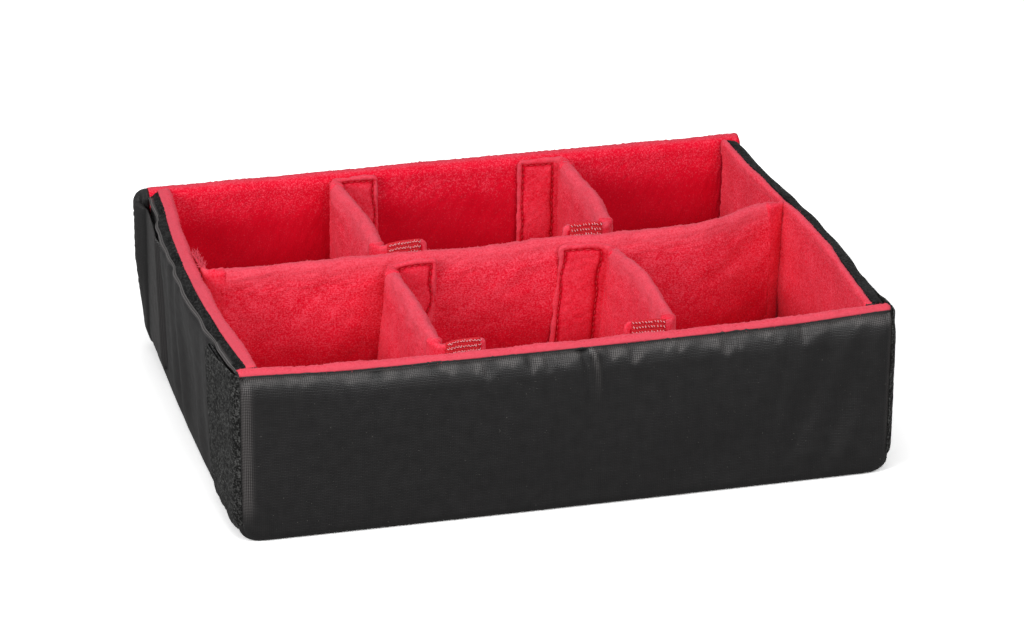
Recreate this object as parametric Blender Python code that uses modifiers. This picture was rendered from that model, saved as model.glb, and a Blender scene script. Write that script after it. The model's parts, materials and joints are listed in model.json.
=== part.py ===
"""Padded divider insert for a hard case.

A fold-up liner (a padded base and four padded walls, closed at the corners by hook tape flaps)
holds one long divider and four short ones, each with a cloth tab and a strip of hook tape at
either end. Lengths are in metres, +Z is up, and the origin is on the floor under the middle.
"""
import math

import bmesh
import bpy
from mathutils import Matrix, Vector

# Liner
WIDTH = 0.380
DEPTH = 0.280
HEIGHT = 0.103
WALL = 0.013
BASE = 0.010
RIM_RADIUS = 0.006
BASE_RADIUS = 0.003
CROWN = 0.0015
NYLON = 0.0014
FLEECE = 0.0020
GAP = 0.0003

# Where the fleece lining ends, on the rounded rim, above the foot and before the ends of a wall
LONG_WALL_HEM_SHARE = 1 / 3
RIGHT_WALL_HEM_SHARE = 0.75
FOOT_HEM_RISE = 0.0020
END_HEM_STEP = 0.0010
BASE_HEM_STEP = 0.0005

# Corner flaps and their tapes
LOOP = 0.0008
HOOK = 0.0012
FLAP_CLOTH = 0.0012
FLAP_LENGTH = 0.060
FLAP_ROOT = 0.004
FLAP_TOP_DROP = 0.004
FLAP_FOOT = 0.004
TAPE_START = 0.013
TAPE_MARGIN = 0.003
TAPE_CORNER = 0.003

# Dividers
PAD = 0.010
PAD_TOP_DROP = 0.001
PAD_RADIUS = 0.004
PAD_CLOTH = 0.0016
SEAM = 0.003
FLANGE = 0.008
TAPER = 0.012
LONG_PLACE = 0.007
LONG_SWEEP = 0.018
SWEEP_LENGTH = 0.055
TAB_LENGTH = 0.026
TAB_CLOTH = 0.0024
TAB_CORNER = 0.004
HOOK_INSET = 0.0025
HOOK_WIDTH = 0.020
HINGE_LIFT = 0.0016
OVERRUN = 0.010

# Short dividers: end at the back, end at the front, sideways bow and the side the tabs turn to
FRONT_LEFT_BACK_END = -0.078
FRONT_LEFT_FRONT_END = -0.073
FRONT_LEFT_BOW = 0.003
FRONT_RIGHT_BACK_END = 0.056
FRONT_RIGHT_FRONT_END = 0.063
FRONT_RIGHT_BOW = 0.006
BACK_LEFT_BACK_END = -0.077
BACK_LEFT_FRONT_END = -0.073
BACK_LEFT_BOW = 0.003
BACK_RIGHT_BACK_END = 0.066
BACK_RIGHT_FRONT_END = 0.066
BACK_RIGHT_BOW = 0.004

ROUND_STEPS = 3
CORNER_STEPS = 2
CROWN_SHARES = (-0.66, -0.33, 0.0, 0.33, 0.66)
HEIGHT_SHARES = (-0.45, 0.0, 0.45)
TAPER_SHARES = (0.0, 0.25, 0.5, 0.75, 1.0)
BEND_STEPS = 8
SWEEP_STEPS = 6

# Sizes that follow
RIM = min(RIM_RADIUS, WALL / 2 - GAP)
LINING_FOOT = RIM + FOOT_HEM_RISE
END_TURN = RIM + END_HEM_STEP
SIDE_INSET = GAP + LOOP
INNER_X = WIDTH / 2 - SIDE_INSET - WALL
INNER_Y = DEPTH / 2 - WALL
PAD_FOOT = BASE + GAP
PAD_TOP = HEIGHT - PAD_TOP_DROP
LONG_FRONT = LONG_PLACE - PAD / 2
LONG_BACK = LONG_PLACE + PAD / 2

COLOURS = {
    "nylon": ((0.020, 0.019, 0.020), 0.62),
    "fleece": ((0.78, 0.012, 0.035), 0.95),
    "foam": ((0.10, 0.10, 0.11), 0.90),
    "black tape": ((0.030, 0.030, 0.031), 0.75),
    "red tape": ((0.70, 0.020, 0.040), 0.60),
}


def clear_scene():
    for thing in list(bpy.data.objects):
        bpy.data.objects.remove(thing, do_unlink=True)


def make_collection(name):
    group = bpy.data.collections.new(name)
    bpy.context.scene.collection.children.link(group)
    return group


def make_material(name, kind):
    colour, roughness = COLOURS[kind]
    material = bpy.data.materials.new(name)
    material.use_nodes = True
    shader = material.node_tree.nodes["Principled BSDF"]
    shader.inputs["Base Color"].default_value = (*colour, 1.0)
    shader.inputs["Roughness"].default_value = roughness
    shader.inputs["Metallic"].default_value = 0.0
    return material


def pivot(name, place, parent=None):
    """An empty on a joint's axis, which carries everything that the joint moves."""
    empty = bpy.data.objects.new(name, None)
    empty.empty_display_size = WALL
    PARTS.objects.link(empty)
    empty.location = Vector(place)
    if parent is not None:
        empty.parent = parent
        empty.location = Vector(place) - world_place(parent)
    return empty


def world_place(thing):
    place = thing.location.copy()
    while thing.parent is not None:
        thing = thing.parent
        place += thing.location
    return place


def add_part(name, bm, kind, carrier, group=None):
    """Turns a mesh drawn in world coordinates into an object that hangs on its carrier."""
    bmesh.ops.recalc_face_normals(bm, faces=bm.faces)
    origin = world_place(carrier)
    bmesh.ops.translate(bm, verts=bm.verts, vec=-origin)
    mesh = bpy.data.meshes.new(name)
    bm.to_mesh(mesh)
    bm.free()
    mesh.shade_smooth()
    mesh.set_sharp_from_angle(angle=math.radians(40))
    part = bpy.data.objects.new(name, mesh)
    part.data.materials.append(make_material(name, kind))
    (group or PARTS).objects.link(part)
    part.parent = carrier
    return part


def thicken(part, thickness):
    """Cloth laid on the inside of the surface that the part was drawn as."""
    cloth = part.modifiers.new("cloth", "SOLIDIFY")
    cloth.thickness = thickness
    cloth.offset = -1
    cloth.use_even_offset = True


def box_mesh(low, high):
    low, high = Vector(low), Vector(high)
    bm = bmesh.new()
    bmesh.ops.create_cube(bm, size=1)
    bmesh.ops.scale(bm, verts=bm.verts, vec=high - low)
    bmesh.ops.translate(bm, verts=bm.verts, vec=(low + high) / 2)
    return bm


def edges_along(bm, axis):
    return [e for e in bm.edges if abs((e.verts[1].co - e.verts[0].co).normalized()[axis]) > 0.99]


def round_edges(bm, edges, radius, steps):
    bmesh.ops.bevel(bm, geom=edges, offset=radius, segments=steps, profile=0.5, affect="EDGES",
                    clamp_overlap=True)


def cut_across(bm, axis, places):
    normal = Vector((0, 0, 0))
    normal[axis] = 1
    for place in places:
        bmesh.ops.bisect_plane(bm, geom=bm.verts[:] + bm.edges[:] + bm.faces[:], dist=GAP / 100,
                               plane_co=normal * place, plane_no=normal)


def plate(name, low, high, corner, axis, kind, carrier):
    """A flat strip of tape or cloth with its four corners rounded about the given axis."""
    bm = box_mesh(low, high)
    round_edges(bm, edges_along(bm, axis), corner, CORNER_STEPS)
    return add_part(name, bm, kind, carrier)


def keep_faces(bm, wanted):
    """A copy of the surface that holds only the faces that the test wants."""
    copy = bm.copy()
    bmesh.ops.delete(copy, geom=[f for f in copy.faces if not wanted(f)], context="FACES")
    return copy


# Padded walls

def wall_crown(bm, reach, length, flat_end):
    """Swells a wall's outer face, and leaves the stretches under the corner flaps flat."""
    middle = -reach + WALL / 2
    half_length = length / 2 - flat_end
    for vert in bm.verts:
        depth = min(1, max(0, (middle - vert.co.y) / (WALL / 2)))
        along = max(0, 1 - (vert.co.x / half_length) ** 2)
        rise = max(0, 1 - ((vert.co.z - HEIGHT / 2) / (HEIGHT / 2)) ** 2)
        vert.co.y -= CROWN * depth * along * rise


def wall_form(reach, length, inset, flat_end):
    """A padded wall's outer form, or its foam when inset, drawn as the front wall."""
    low = (-length / 2 + inset, -reach + inset, inset)
    high = (length / 2 - inset, -reach + WALL - inset, HEIGHT - inset)
    bm = box_mesh(low, high)
    round_edges(bm, bm.edges[:], RIM - inset, ROUND_STEPS)
    half = length / 2 - flat_end
    cut_across(bm, 0, [share * half for share in CROWN_SHARES])
    cut_across(bm, 2, [HEIGHT / 2 + share * HEIGHT / 2 for share in HEIGHT_SHARES])
    if flat_end:
        cut_across(bm, 0, [-half, half])
    return bm


def split_at_hems(bm, reach, length, hem):
    """Parts the outer form into the cover's surface and the lining's, a slit apart all round."""
    slit = GAP / 2
    hem_line = -reach + hem
    end_line = length / 2 - END_TURN
    cut_across(bm, 1, [hem_line - slit, hem_line + slit])
    cut_across(bm, 2, [LINING_FOOT - slit, LINING_FOOT + slit])
    cut_across(bm, 0, [side * end_line + step for side in (-1, 1) for step in (-slit, slit)])

    def on_lining(face):
        middle = face.calc_center_median()
        inside = middle.y > hem_line + slit and middle.z > LINING_FOOT + slit
        return inside and abs(middle.x) < end_line - slit

    def on_cover(face):
        middle = face.calc_center_median()
        outside = middle.y < hem_line - slit or middle.z < LINING_FOOT - slit
        return outside or abs(middle.x) > end_line + slit

    cover, lining = keep_faces(bm, on_cover), keep_faces(bm, on_lining)
    bm.free()
    return cover, lining


def make_wall(name, reach, length, turn, hem, flat_end):
    """A wall's foam, nylon cover and fleece lining, drawn in front and turned to its side."""
    turning = Matrix.Rotation(turn, 3, "Z")
    hinge = pivot(f"{name}_hinge", turning @ Vector((0, -reach, HINGE_LIFT)))
    foam = wall_form(reach, length, FLEECE + GAP, flat_end)
    cover, lining = split_at_hems(wall_form(reach, length, 0, flat_end), reach, length, hem)
    for surface in (foam, cover, lining):
        wall_crown(surface, reach, length, flat_end)
        bmesh.ops.rotate(surface, cent=(0, 0, 0), matrix=turning, verts=surface.verts)
    add_part(f"{name}_foam", foam, "foam", hinge)
    thicken(add_part(f"{name}_cover", cover, "nylon", hinge), NYLON)
    thicken(add_part(f"{name}_lining", lining, "fleece", hinge), FLEECE)
    return hinge


def make_base():
    carrier = pivot("base_centre", (0, 0, 0))
    half = Vector((INNER_X - GAP, INNER_Y - GAP, 0))
    low, high = -half, half + Vector((0, 0, BASE))
    inset = Vector((1, 1, 1)) * (FLEECE + GAP)
    foam = box_mesh(low + inset, high - inset)
    round_edges(foam, foam.edges[:], BASE_RADIUS - FLEECE - GAP, CORNER_STEPS)
    add_part("base_foam", foam, "foam", carrier)
    bm = box_mesh(low, high)
    round_edges(bm, bm.edges[:], BASE_RADIUS, CORNER_STEPS)
    hem_line = BASE - BASE_RADIUS - BASE_HEM_STEP
    slit = GAP / 2
    cut_across(bm, 2, [hem_line - slit, hem_line + slit])
    cover = keep_faces(bm, lambda f: f.calc_center_median().z < hem_line - slit)
    lining = keep_faces(bm, lambda f: f.calc_center_median().z > hem_line + slit)
    bm.free()
    thicken(add_part("base_cover", cover, "nylon", carrier), NYLON)
    thicken(add_part("base_lining", lining, "fleece", carrier), FLEECE)


# Corner flaps

def make_flap(corner, side, way, wall_hinge, side_hinge):
    """A cloth flap sewn to the end of the front or back wall, and the loop tape it closes on.

    side is -1 on the left and 1 on the right; way is 1 where the flap runs back from the front wall.
    """
    root_y = -way * (DEPTH / 2 - RIM)
    face = WIDTH / 2 + GAP
    cloth_face = face + HOOK + GAP
    outside = cloth_face + FLAP_CLOTH
    foot, top = FLAP_FOOT, HEIGHT - FLAP_TOP_DROP
    hinge = pivot(f"{corner}_flap_hinge", (side * face, root_y, (foot + top) / 2), wall_hinge)

    outline = [(0, 0), (outside - face, 0), (outside - face, FLAP_LENGTH),
               (cloth_face - face, FLAP_LENGTH), (cloth_face - face, FLAP_ROOT), (0, FLAP_ROOT)]
    curve = bpy.data.curves.new(f"{corner}_flap", "CURVE")
    curve.dimensions = "2D"
    curve.fill_mode = "BOTH"
    curve.extrude = (top - foot) / 2
    line = curve.splines.new("POLY")
    line.points.add(len(outline) - 1)
    for point, (x, y) in zip(line.points, outline):
        point.co = (side * x, way * y, 0, 1)
    line.use_cyclic_u = True
    flap = bpy.data.objects.new(f"{corner}_flap", curve)
    curve.materials.append(make_material(f"{corner}_flap", "black tape"))
    PARTS.objects.link(flap)
    flap.parent = hinge

    near, far = sorted(root_y + way * end for end in (TAPE_START, FLAP_LENGTH - TAPE_MARGIN))
    hook_foot, hook_top = foot + TAPE_MARGIN, top - TAPE_MARGIN
    xs = sorted((side * face, side * (face + HOOK)))
    plate(f"{corner}_flap_hook_tape", (xs[0], near, hook_foot), (xs[1], far, hook_top),
          TAPE_CORNER, 0, "black tape", hinge)
    loop_face = WIDTH / 2 - LOOP
    xs = sorted((side * loop_face, side * WIDTH / 2))
    plate(f"{corner}_loop_tape", (xs[0], near, hook_foot), (xs[1], far, hook_top),
          TAPE_CORNER, 0, "black tape", side_hinge)


# Dividers

def smooth(t):
    t = min(1, max(0, t))
    return t * t * (3 - 2 * t)


def pad_thickness(distance):
    """Thickness at a distance from the nearer end: a flat seam flange, then a taper to the pad."""
    return SEAM + (PAD - SEAM) * smooth((distance - FLANGE) / TAPER)


def foam_start():
    """Distance from the pad's end at which the foam has room between its two layers of cloth."""
    return FLANGE + TAPER / 2


def bend(bm, start, end, centre, cloth):
    """Shapes a straight slab: its thickness tapers to the ends and it follows its centre line."""
    full = PAD - 2 * cloth
    for vert in bm.verts:
        distance = min(vert.co.x - start, end - vert.co.x)
        wanted = pad_thickness(distance) - 2 * cloth
        vert.co.y = vert.co.y * wanted / full + centre(vert.co.x)


def pad_slab(start, end, margin, cloth, foot, top, stations, centre, radius):
    """A slab along X between the ends, drawn in by margin, and shaped by its centre line."""
    half = PAD / 2 - cloth
    bm = box_mesh((start + margin, -half, foot), (end - margin, half, top))
    round_edges(bm, edges_along(bm, 0), radius, ROUND_STEPS)
    cut_across(bm, 0, [s for s in stations if start + margin < s < end - margin])
    bend(bm, start, end, centre, cloth)
    return bm


def make_pad(name, start, end, centre, bend_stations, lengthwise, lift):
    """The foam and its sewn sleeve. The sleeve's pocket is open below, where the foam goes in."""
    steps = [share * TAPER for share in TAPER_SHARES]
    tapers = [start + FLANGE + s for s in steps] + [end - FLANGE - s for s in steps]
    stations = sorted(tapers + bend_stations)
    radius = min(PAD_RADIUS, PAD / 2 - PAD_CLOTH)
    sleeve = pad_slab(start, end, 0, 0, PAD_FOOT, PAD_TOP, stations, centre, radius)
    pocket_margin = foam_start()
    pocket = pad_slab(start, end, pocket_margin, PAD_CLOTH, PAD_FOOT - OVERRUN,
                      PAD_TOP - PAD_CLOTH, stations, centre, radius - PAD_CLOTH)
    cloth = PAD_CLOTH + GAP
    foam = pad_slab(start, end, pocket_margin + GAP, cloth, PAD_FOOT,
                    PAD_TOP - cloth, stations, centre, radius - cloth)
    if lengthwise:
        turn = Matrix(((0, 1, 0), (1, 0, 0), (0, 0, 1)))
        for bm in (sleeve, pocket, foam):
            bmesh.ops.transform(bm, matrix=turn.to_4x4(), verts=bm.verts)
    add_part(f"{name}_foam", foam, "foam", lift)
    cover = add_part(f"{name}_cover", sleeve, "fleece", lift)
    cutter = add_part(f"{name}_pocket", pocket, "foam", lift, CUTTERS)
    cutter.hide_render = True
    cutter.display_type = "WIRE"
    hollow = cover.modifiers.new("pocket", "BOOLEAN")
    hollow.operation = "DIFFERENCE"
    hollow.object = cutter


def make_tab(name, root, along, away, lift):
    """A cloth tab at a pad's end, folded flat on its seat, with hook tape between the two.

    root is where the tab starts, on the seat; along is the way it runs and away leads off the seat.
    """
    upright = Vector((0, 0, 1))
    foot = root + upright * PAD_FOOT
    height = PAD_TOP - PAD_FOOT
    hook_back = GAP + HOOK
    cloth_face = hook_back + GAP
    axis_place = foot + away * (cloth_face + TAB_CLOTH) + upright * height / 2
    hinge = pivot(f"{name}_hinge", axis_place, lift)
    thick_axis = 0 if abs(away.x) > abs(away.y) else 1

    def corners(start, length, near, far, low, high):
        a = foot + along * start + away * near + upright * low
        b = foot + along * (start + length) + away * far + upright * high
        return Vector(map(min, a, b)), Vector(map(max, a, b))

    low, high = corners(0, TAB_LENGTH, cloth_face, cloth_face + TAB_CLOTH, 0, height)
    plate(name, low, high, TAB_CORNER, thick_axis, "fleece", hinge)
    low, high = corners(HOOK_INSET, HOOK_WIDTH, GAP, hook_back, HOOK_INSET, height - HOOK_INSET)
    plate(f"{name}_hook_tape", low, high, TAPE_CORNER, thick_axis, "red tape", hinge)


def make_short_divider(name, front_seat, back_seat, front_end, back_end, bow, turn):
    """A divider that runs from front to back; turn is 1 where its tabs turn to the right."""
    start, end = front_seat + GAP, back_seat - GAP
    length = end - start

    def centre(place):
        share = (place - start) / length
        drift = (back_end - front_end) * smooth(share)
        return front_end + drift + bow * math.sin(math.pi * share) ** 2

    lift = pivot(f"{name}_lift", (centre((start + end) / 2), (start + end) / 2, PAD_FOOT))
    stations = [start + length * k / BEND_STEPS for k in range(1, BEND_STEPS)]
    make_pad(name, start, end, centre, stations, True, lift)
    root_step = SEAM / 2 + GAP
    along = Vector((turn, 0, 0))
    for label, seat, end_x, away in (("front", front_seat, front_end, Vector((0, 1, 0))),
                                     ("back", back_seat, back_end, Vector((0, -1, 0)))):
        root = Vector((end_x + turn * root_step, seat, 0))
        make_tab(f"{name}_{label}_tab", root, along, away, lift)


def make_long_divider():
    """The divider that runs from left to right; its right end sweeps back before the wall."""
    name = "long_divider"
    start, end = -INNER_X + GAP, INNER_X - GAP
    sweep_start = end - FLANGE - SWEEP_LENGTH

    def centre(place):
        return LONG_PLACE + LONG_SWEEP * smooth((place - sweep_start) / SWEEP_LENGTH)

    lift = pivot(f"{name}_lift", (0, LONG_PLACE, PAD_FOOT))
    stations = [sweep_start + SWEEP_LENGTH * k / SWEEP_STEPS for k in range(SWEEP_STEPS + 1)]
    make_pad(name, start, end, centre, stations, False, lift)
    root_step = SEAM / 2 + GAP
    along = Vector((0, 1, 0))
    for label, seat, place, away in (("left", -INNER_X, start, Vector((1, 0, 0))),
                                     ("right", INNER_X, end, Vector((-1, 0, 0)))):
        root = Vector((seat, centre(place) + root_step, 0))
        make_tab(f"{name}_{label}_tab", root, along, away, lift)


clear_scene()
PARTS = make_collection("case_divider_set")
CUTTERS = make_collection("cutters")

make_base()
side_reach = WIDTH / 2 - SIDE_INSET
side_length = 2 * (INNER_Y - GAP)
long_hem = RIM * LONG_WALL_HEM_SHARE
right_hem = RIM * RIGHT_WALL_HEM_SHARE
front_hinge = make_wall("front_wall", DEPTH / 2, WIDTH, 0, long_hem, 0)
back_hinge = make_wall("back_wall", DEPTH / 2, WIDTH, math.pi, long_hem, 0)
left_hinge = make_wall("left_wall", side_reach, side_length, -math.pi / 2, WALL / 2, FLAP_LENGTH)
right_hinge = make_wall("right_wall", side_reach, side_length, math.pi / 2, right_hem, FLAP_LENGTH)

make_flap("front_left", -1, 1, front_hinge, left_hinge)
make_flap("front_right", 1, 1, front_hinge, right_hinge)
make_flap("back_left", -1, -1, back_hinge, left_hinge)
make_flap("back_right", 1, -1, back_hinge, right_hinge)

make_long_divider()
make_short_divider("front_left_divider", -INNER_Y, LONG_FRONT, FRONT_LEFT_FRONT_END,
                   FRONT_LEFT_BACK_END, FRONT_LEFT_BOW, 1)
make_short_divider("front_right_divider", -INNER_Y, LONG_FRONT, FRONT_RIGHT_FRONT_END,
                   FRONT_RIGHT_BACK_END, FRONT_RIGHT_BOW, -1)
make_short_divider("back_left_divider", LONG_BACK, INNER_Y, BACK_LEFT_FRONT_END,
                   BACK_LEFT_BACK_END, BACK_LEFT_BOW, 1)
make_short_divider("back_right_divider", LONG_BACK, INNER_Y, BACK_RIGHT_FRONT_END,
                   BACK_RIGHT_BACK_END, BACK_RIGHT_BOW, -1)
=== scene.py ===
"""Looks of a padded divider insert: nylon, fleece, foam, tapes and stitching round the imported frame.

Lengths are in metres, in the frame's axes. Every soft slab is drawn straight, with s along it, v across
its thickness and z up, and a form then bends it to its place.
"""
import json
import math

import bpy
import numpy as np
from mathutils import Matrix, Vector
from mathutils.bvhtree import BVHTree

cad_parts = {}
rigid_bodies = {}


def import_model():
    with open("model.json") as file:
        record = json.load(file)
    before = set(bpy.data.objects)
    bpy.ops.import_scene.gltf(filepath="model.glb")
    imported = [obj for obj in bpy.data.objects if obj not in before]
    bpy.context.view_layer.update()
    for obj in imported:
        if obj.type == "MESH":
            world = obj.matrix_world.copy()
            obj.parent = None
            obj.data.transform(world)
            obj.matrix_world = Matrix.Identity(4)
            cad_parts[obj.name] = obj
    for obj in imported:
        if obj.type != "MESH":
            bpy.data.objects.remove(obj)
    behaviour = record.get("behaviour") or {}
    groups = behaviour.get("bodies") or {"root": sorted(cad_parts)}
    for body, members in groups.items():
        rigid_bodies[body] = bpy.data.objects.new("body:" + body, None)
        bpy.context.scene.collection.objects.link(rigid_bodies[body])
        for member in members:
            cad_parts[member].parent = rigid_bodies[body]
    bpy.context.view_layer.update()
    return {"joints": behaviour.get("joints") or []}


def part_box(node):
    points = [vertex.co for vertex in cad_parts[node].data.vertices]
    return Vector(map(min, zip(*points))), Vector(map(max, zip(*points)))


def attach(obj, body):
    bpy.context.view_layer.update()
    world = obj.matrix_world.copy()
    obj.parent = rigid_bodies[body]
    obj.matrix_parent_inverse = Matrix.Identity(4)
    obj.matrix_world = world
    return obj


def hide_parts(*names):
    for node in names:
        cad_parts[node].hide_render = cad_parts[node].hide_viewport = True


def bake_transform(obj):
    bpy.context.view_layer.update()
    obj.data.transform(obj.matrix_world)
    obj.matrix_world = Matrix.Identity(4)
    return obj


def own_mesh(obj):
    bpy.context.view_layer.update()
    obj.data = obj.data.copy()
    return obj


MM = 0.001
DEGREE = math.pi / 180

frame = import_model()
JOINTS = {joint["name"]: joint for joint in frame["joints"]}

# Camera, fitted to the corners of the insert in the photograph
AZIMUTH = -14.99 * DEGREE
ELEVATION = 24.448 * DEGREE
ROLL = 0.506 * DEGREE
DISTANCE = 2.6609
LENS_MM = 159.13
TARGET = (0.0024, 0.0, 0.0534)
WORLD_LIGHT = 0.40

# Walls
WALL_RADIUS = 6.0 * MM
NYLON = 0.9 * MM                # thickness of the cloths
FLEECE = 1.8 * MM
LINING_FOOT = 8.0 * MM          # where the lining starts above the ground
END_CAP = 1.6 * MM
FOAM_INSET = 2.9 * MM           # how far the foam lies inside the cloths' outer surface

# Dividers
PAD_RADIUS = 4.4 * MM
SLEEVE_RADII = (0.3 * MM, PAD_RADIUS, PAD_RADIUS)
SEWN_EDGE = 3.4 * MM            # thickness of the sewn flange at each end
CORE_START = 9.5 * MM           # where the sleeve starts, from the pad's end
DRAWN_OVER = 45                 # over how many millimetres a drawn end tapers off
TAB_LAP = 4.0 * MM
FOLD_RADIUS = 3.4 * MM
LEAF = 2.4 * MM                 # thickness of a tab beyond its fold
LEAF_RISE = {"front": 1.2 * MM, "right": -7.0 * MM}
LEAF_WIDER = {"front_left_divider_back_tab": 1.0 * MM, "front_right_divider_back_tab": 3.7 * MM}
STITCH_LENGTH = 2.7 * MM
STITCH_GAP = 1.3 * MM
STITCH_INSET = 3.2 * MM
STITCH_START = 6.0 * MM
THREAD = 0.26 * MM
FIBRE_LENGTH = 0.9 * MM
ELSEWHERE = 1.0                 # a metre along, noise has nothing to do with what it is here

# Cloth as simulated
CLOTH_MASS = 0.01
CLOTH_STIFFNESS = 12.0
CLOTH_BENDING = 0.06
CLOTH_FRAMES = 20
WALL_PRESSURE = 1.5
SLEEVE_PRESSURE = 4.0
PUCKER_CAP = 1.2 * MM           # height that a wall's folds, and a sleeve's, are kept below
PUFF_CAP = 2.2 * MM
LOW_FOLDS = 0.25                # the share of their height that folds keep far below the hem

# Flaps and foot
FLAP_CLOTH = 1.2 * MM
FOOT_CLOTH = 1.0 * MM


# Numbers: places, slabs and noise

def places(low, high, step, exact=()):
    """Even places from low to high, moved onto the exact ones that lie between them."""
    count = max(1, round((high - low) / step))
    inside = [place for place in exact if low < place < high]
    even = np.linspace(low, high, count + 1)[1:-1]
    kept = [p for p in even if all(abs(p - e) > 0.45 * step for e in inside)]
    return np.array(sorted([low, high, *kept, *inside]))


def block_surface(s, v, z):
    """The points and quads of a block's whole surface, on a lattice of the given places."""
    counts = (len(s), len(v), len(z))
    outside = np.zeros(counts, bool)
    outside[[0, -1]] = outside[:, [0, -1]] = outside[:, :, [0, -1]] = True
    number = np.full(counts, -1)
    number[outside] = np.arange(outside.sum())
    i, j, k = np.nonzero(outside)
    sides = []
    for axis, outward in ((0, True), (1, False), (2, True)):
        for end, flip in ((0, outward), (-1, not outward)):
            grid = number.take(end, axis=axis)
            quads = np.stack([grid[:-1, :-1], grid[1:, :-1], grid[1:, 1:], grid[:-1, 1:]], -1)
            sides.append(quads.reshape(-1, 4)[:, ::-1] if flip else quads.reshape(-1, 4))
    return np.column_stack([s[i], v[j], z[k]]), np.vstack(sides)


def smooth(t):
    """0 up to 0 and 1 from 1 on, with no corner at either."""
    t = np.clip(t, 0, 1)
    return t * t * (3 - 2 * t)


def above(place, start, over):
    """0 up to the start and 1 from over further on; both in millimetres, the place in metres."""
    return smooth((place - start * MM) / (over * MM))


def below(place, end, over):
    """1 up to over before the end, and 0 from the end on; both in millimetres, the place in metres."""
    return smooth((end * MM - place) / (over * MM))


def hump(away, wide):
    """1 in the middle, and near 0 beyond twice the width in millimetres."""
    return np.exp(-(away / (wide * MM)) ** 2)


def decay(down, over):
    """1 at 0, and a third as much for every step of over in millimetres."""
    return np.exp(-down / (over * MM))


def waves(points, size, seed, count=24):
    """Smooth noise of about unit height, whose bumps are about the given size."""
    rng = np.random.default_rng(seed)
    heading = rng.normal(size=(count, points.shape[1]))
    heading /= np.linalg.norm(heading, axis=1)[:, None]
    pitch = 2 * math.pi / (size * rng.uniform(1.6, 3.0, count))
    phase = rng.uniform(0, 2 * math.pi, count)
    return np.sin(points @ (heading * pitch[:, None]).T + phase).sum(1) * math.sqrt(2 / count)


def waves_along(s, size, seed):
    """Smooth noise along one line."""
    return waves(np.column_stack([s, s * 0]), size, seed)


class Slab:
    """The surface of a straight slab with rounded edges: where each point was drawn, is and faces."""

    def __init__(self, s, v, z, radius):
        self.drawn, self.quads = block_surface(s, v, z)
        low, high = self.drawn.min(0), self.drawn.max(0)
        reach = np.minimum(radius(self.drawn) if callable(radius) else radius, (high - low) / 2)
        inner = np.clip(self.drawn, low + reach, high - reach)
        away = (self.drawn - inner) / reach
        away = away / np.linalg.norm(away, axis=1)[:, None]
        self.at = inner + reach * away
        self.facing = away / reach
        self.facing /= np.linalg.norm(self.facing, axis=1)[:, None]

    def middles(self):
        return self.drawn[self.quads].mean(1)


def straight(start, heading):
    """A path in plan from start: s runs along heading, and v to the left of it."""
    start, heading = np.array(start, float)[:2], np.array(heading, float)[:2]
    side = np.array([-heading[1], heading[0]])

    def form(s, v, z):
        flat = start + np.outer(s, heading) + np.outer(v, side)
        return np.column_stack([flat, z])
    return form


def along_line(points):
    """A path in plan along a smooth line of points: s is the length run, and v lies to its left."""
    points = np.array(points, float)
    run = np.concatenate([[0], np.cumsum(np.linalg.norm(np.diff(points, axis=0), axis=1))])
    heading = np.gradient(points, run, axis=0)

    def form(s, v, z):
        inside = np.clip(s, 0, run[-1])
        place = np.column_stack([np.interp(inside, run, points[:, k]) for k in (0, 1)])
        ahead = np.column_stack([np.interp(inside, run, heading[:, k]) for k in (0, 1)])
        ahead /= np.linalg.norm(ahead, axis=1)[:, None]
        side = np.column_stack([-ahead[:, 1], ahead[:, 0]])
        place = place + ahead * (s - inside)[:, None] + side * v[:, None]
        return np.column_stack([place, z])
    form.length = run[-1]
    return form


# Cloth simulation: the cover sewn down at its edges, blown up a little and left to settle

def settled(points, quads, sewn, pressure, rest):
    """Where the points of a cloth come to lie, which was cut as in rest and is sewn down at some."""
    mesh = bpy.data.meshes.new("settling")
    mesh.from_pydata(points.tolist(), [], quads.tolist())
    body = bpy.data.objects.new("settling", mesh)
    scene = bpy.context.scene
    scene.collection.objects.link(body)
    body.shape_key_add(name="Basis")
    cut = body.shape_key_add(name="cut")
    cut.data.foreach_set("co", np.ascontiguousarray(rest, dtype=np.float32).ravel())
    cut.value = 0.0
    group = body.vertex_groups.new(name="sewn")
    group.add([int(index) for index in np.nonzero(sewn)[0]], 1.0, "REPLACE")
    cloth = body.modifiers.new("cloth", "CLOTH")
    settings = cloth.settings
    settings.quality = 6
    settings.mass = CLOTH_MASS
    settings.vertex_group_mass = "sewn"
    settings.rest_shape_key = cut
    settings.tension_stiffness = settings.compression_stiffness = CLOTH_STIFFNESS
    settings.shear_stiffness = CLOTH_STIFFNESS / 3
    settings.bending_stiffness = CLOTH_BENDING
    settings.use_pressure = True
    settings.uniform_pressure_force = pressure
    settings.effector_weights.gravity = 0
    cloth.point_cache.frame_start, cloth.point_cache.frame_end = 1, CLOTH_FRAMES
    for step in range(1, CLOTH_FRAMES + 1):
        scene.frame_set(step)
    shape = body.evaluated_get(bpy.context.evaluated_depsgraph_get())
    found = np.zeros(points.size, np.float32)
    shape.data.vertices.foreach_get("co", found)
    bpy.data.objects.remove(body)
    bpy.data.meshes.remove(mesh)
    scene.frame_set(1)
    return found.reshape(points.shape).astype(float)


def cell_of(grid, place):
    """The cell of a grid that holds each place, and how far across it the place lies."""
    index = np.clip(np.searchsorted(grid, place) - 1, 0, len(grid) - 2)
    share = np.clip((place - grid[index]) / (grid[index + 1] - grid[index]), 0, 1)
    return index, share


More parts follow.
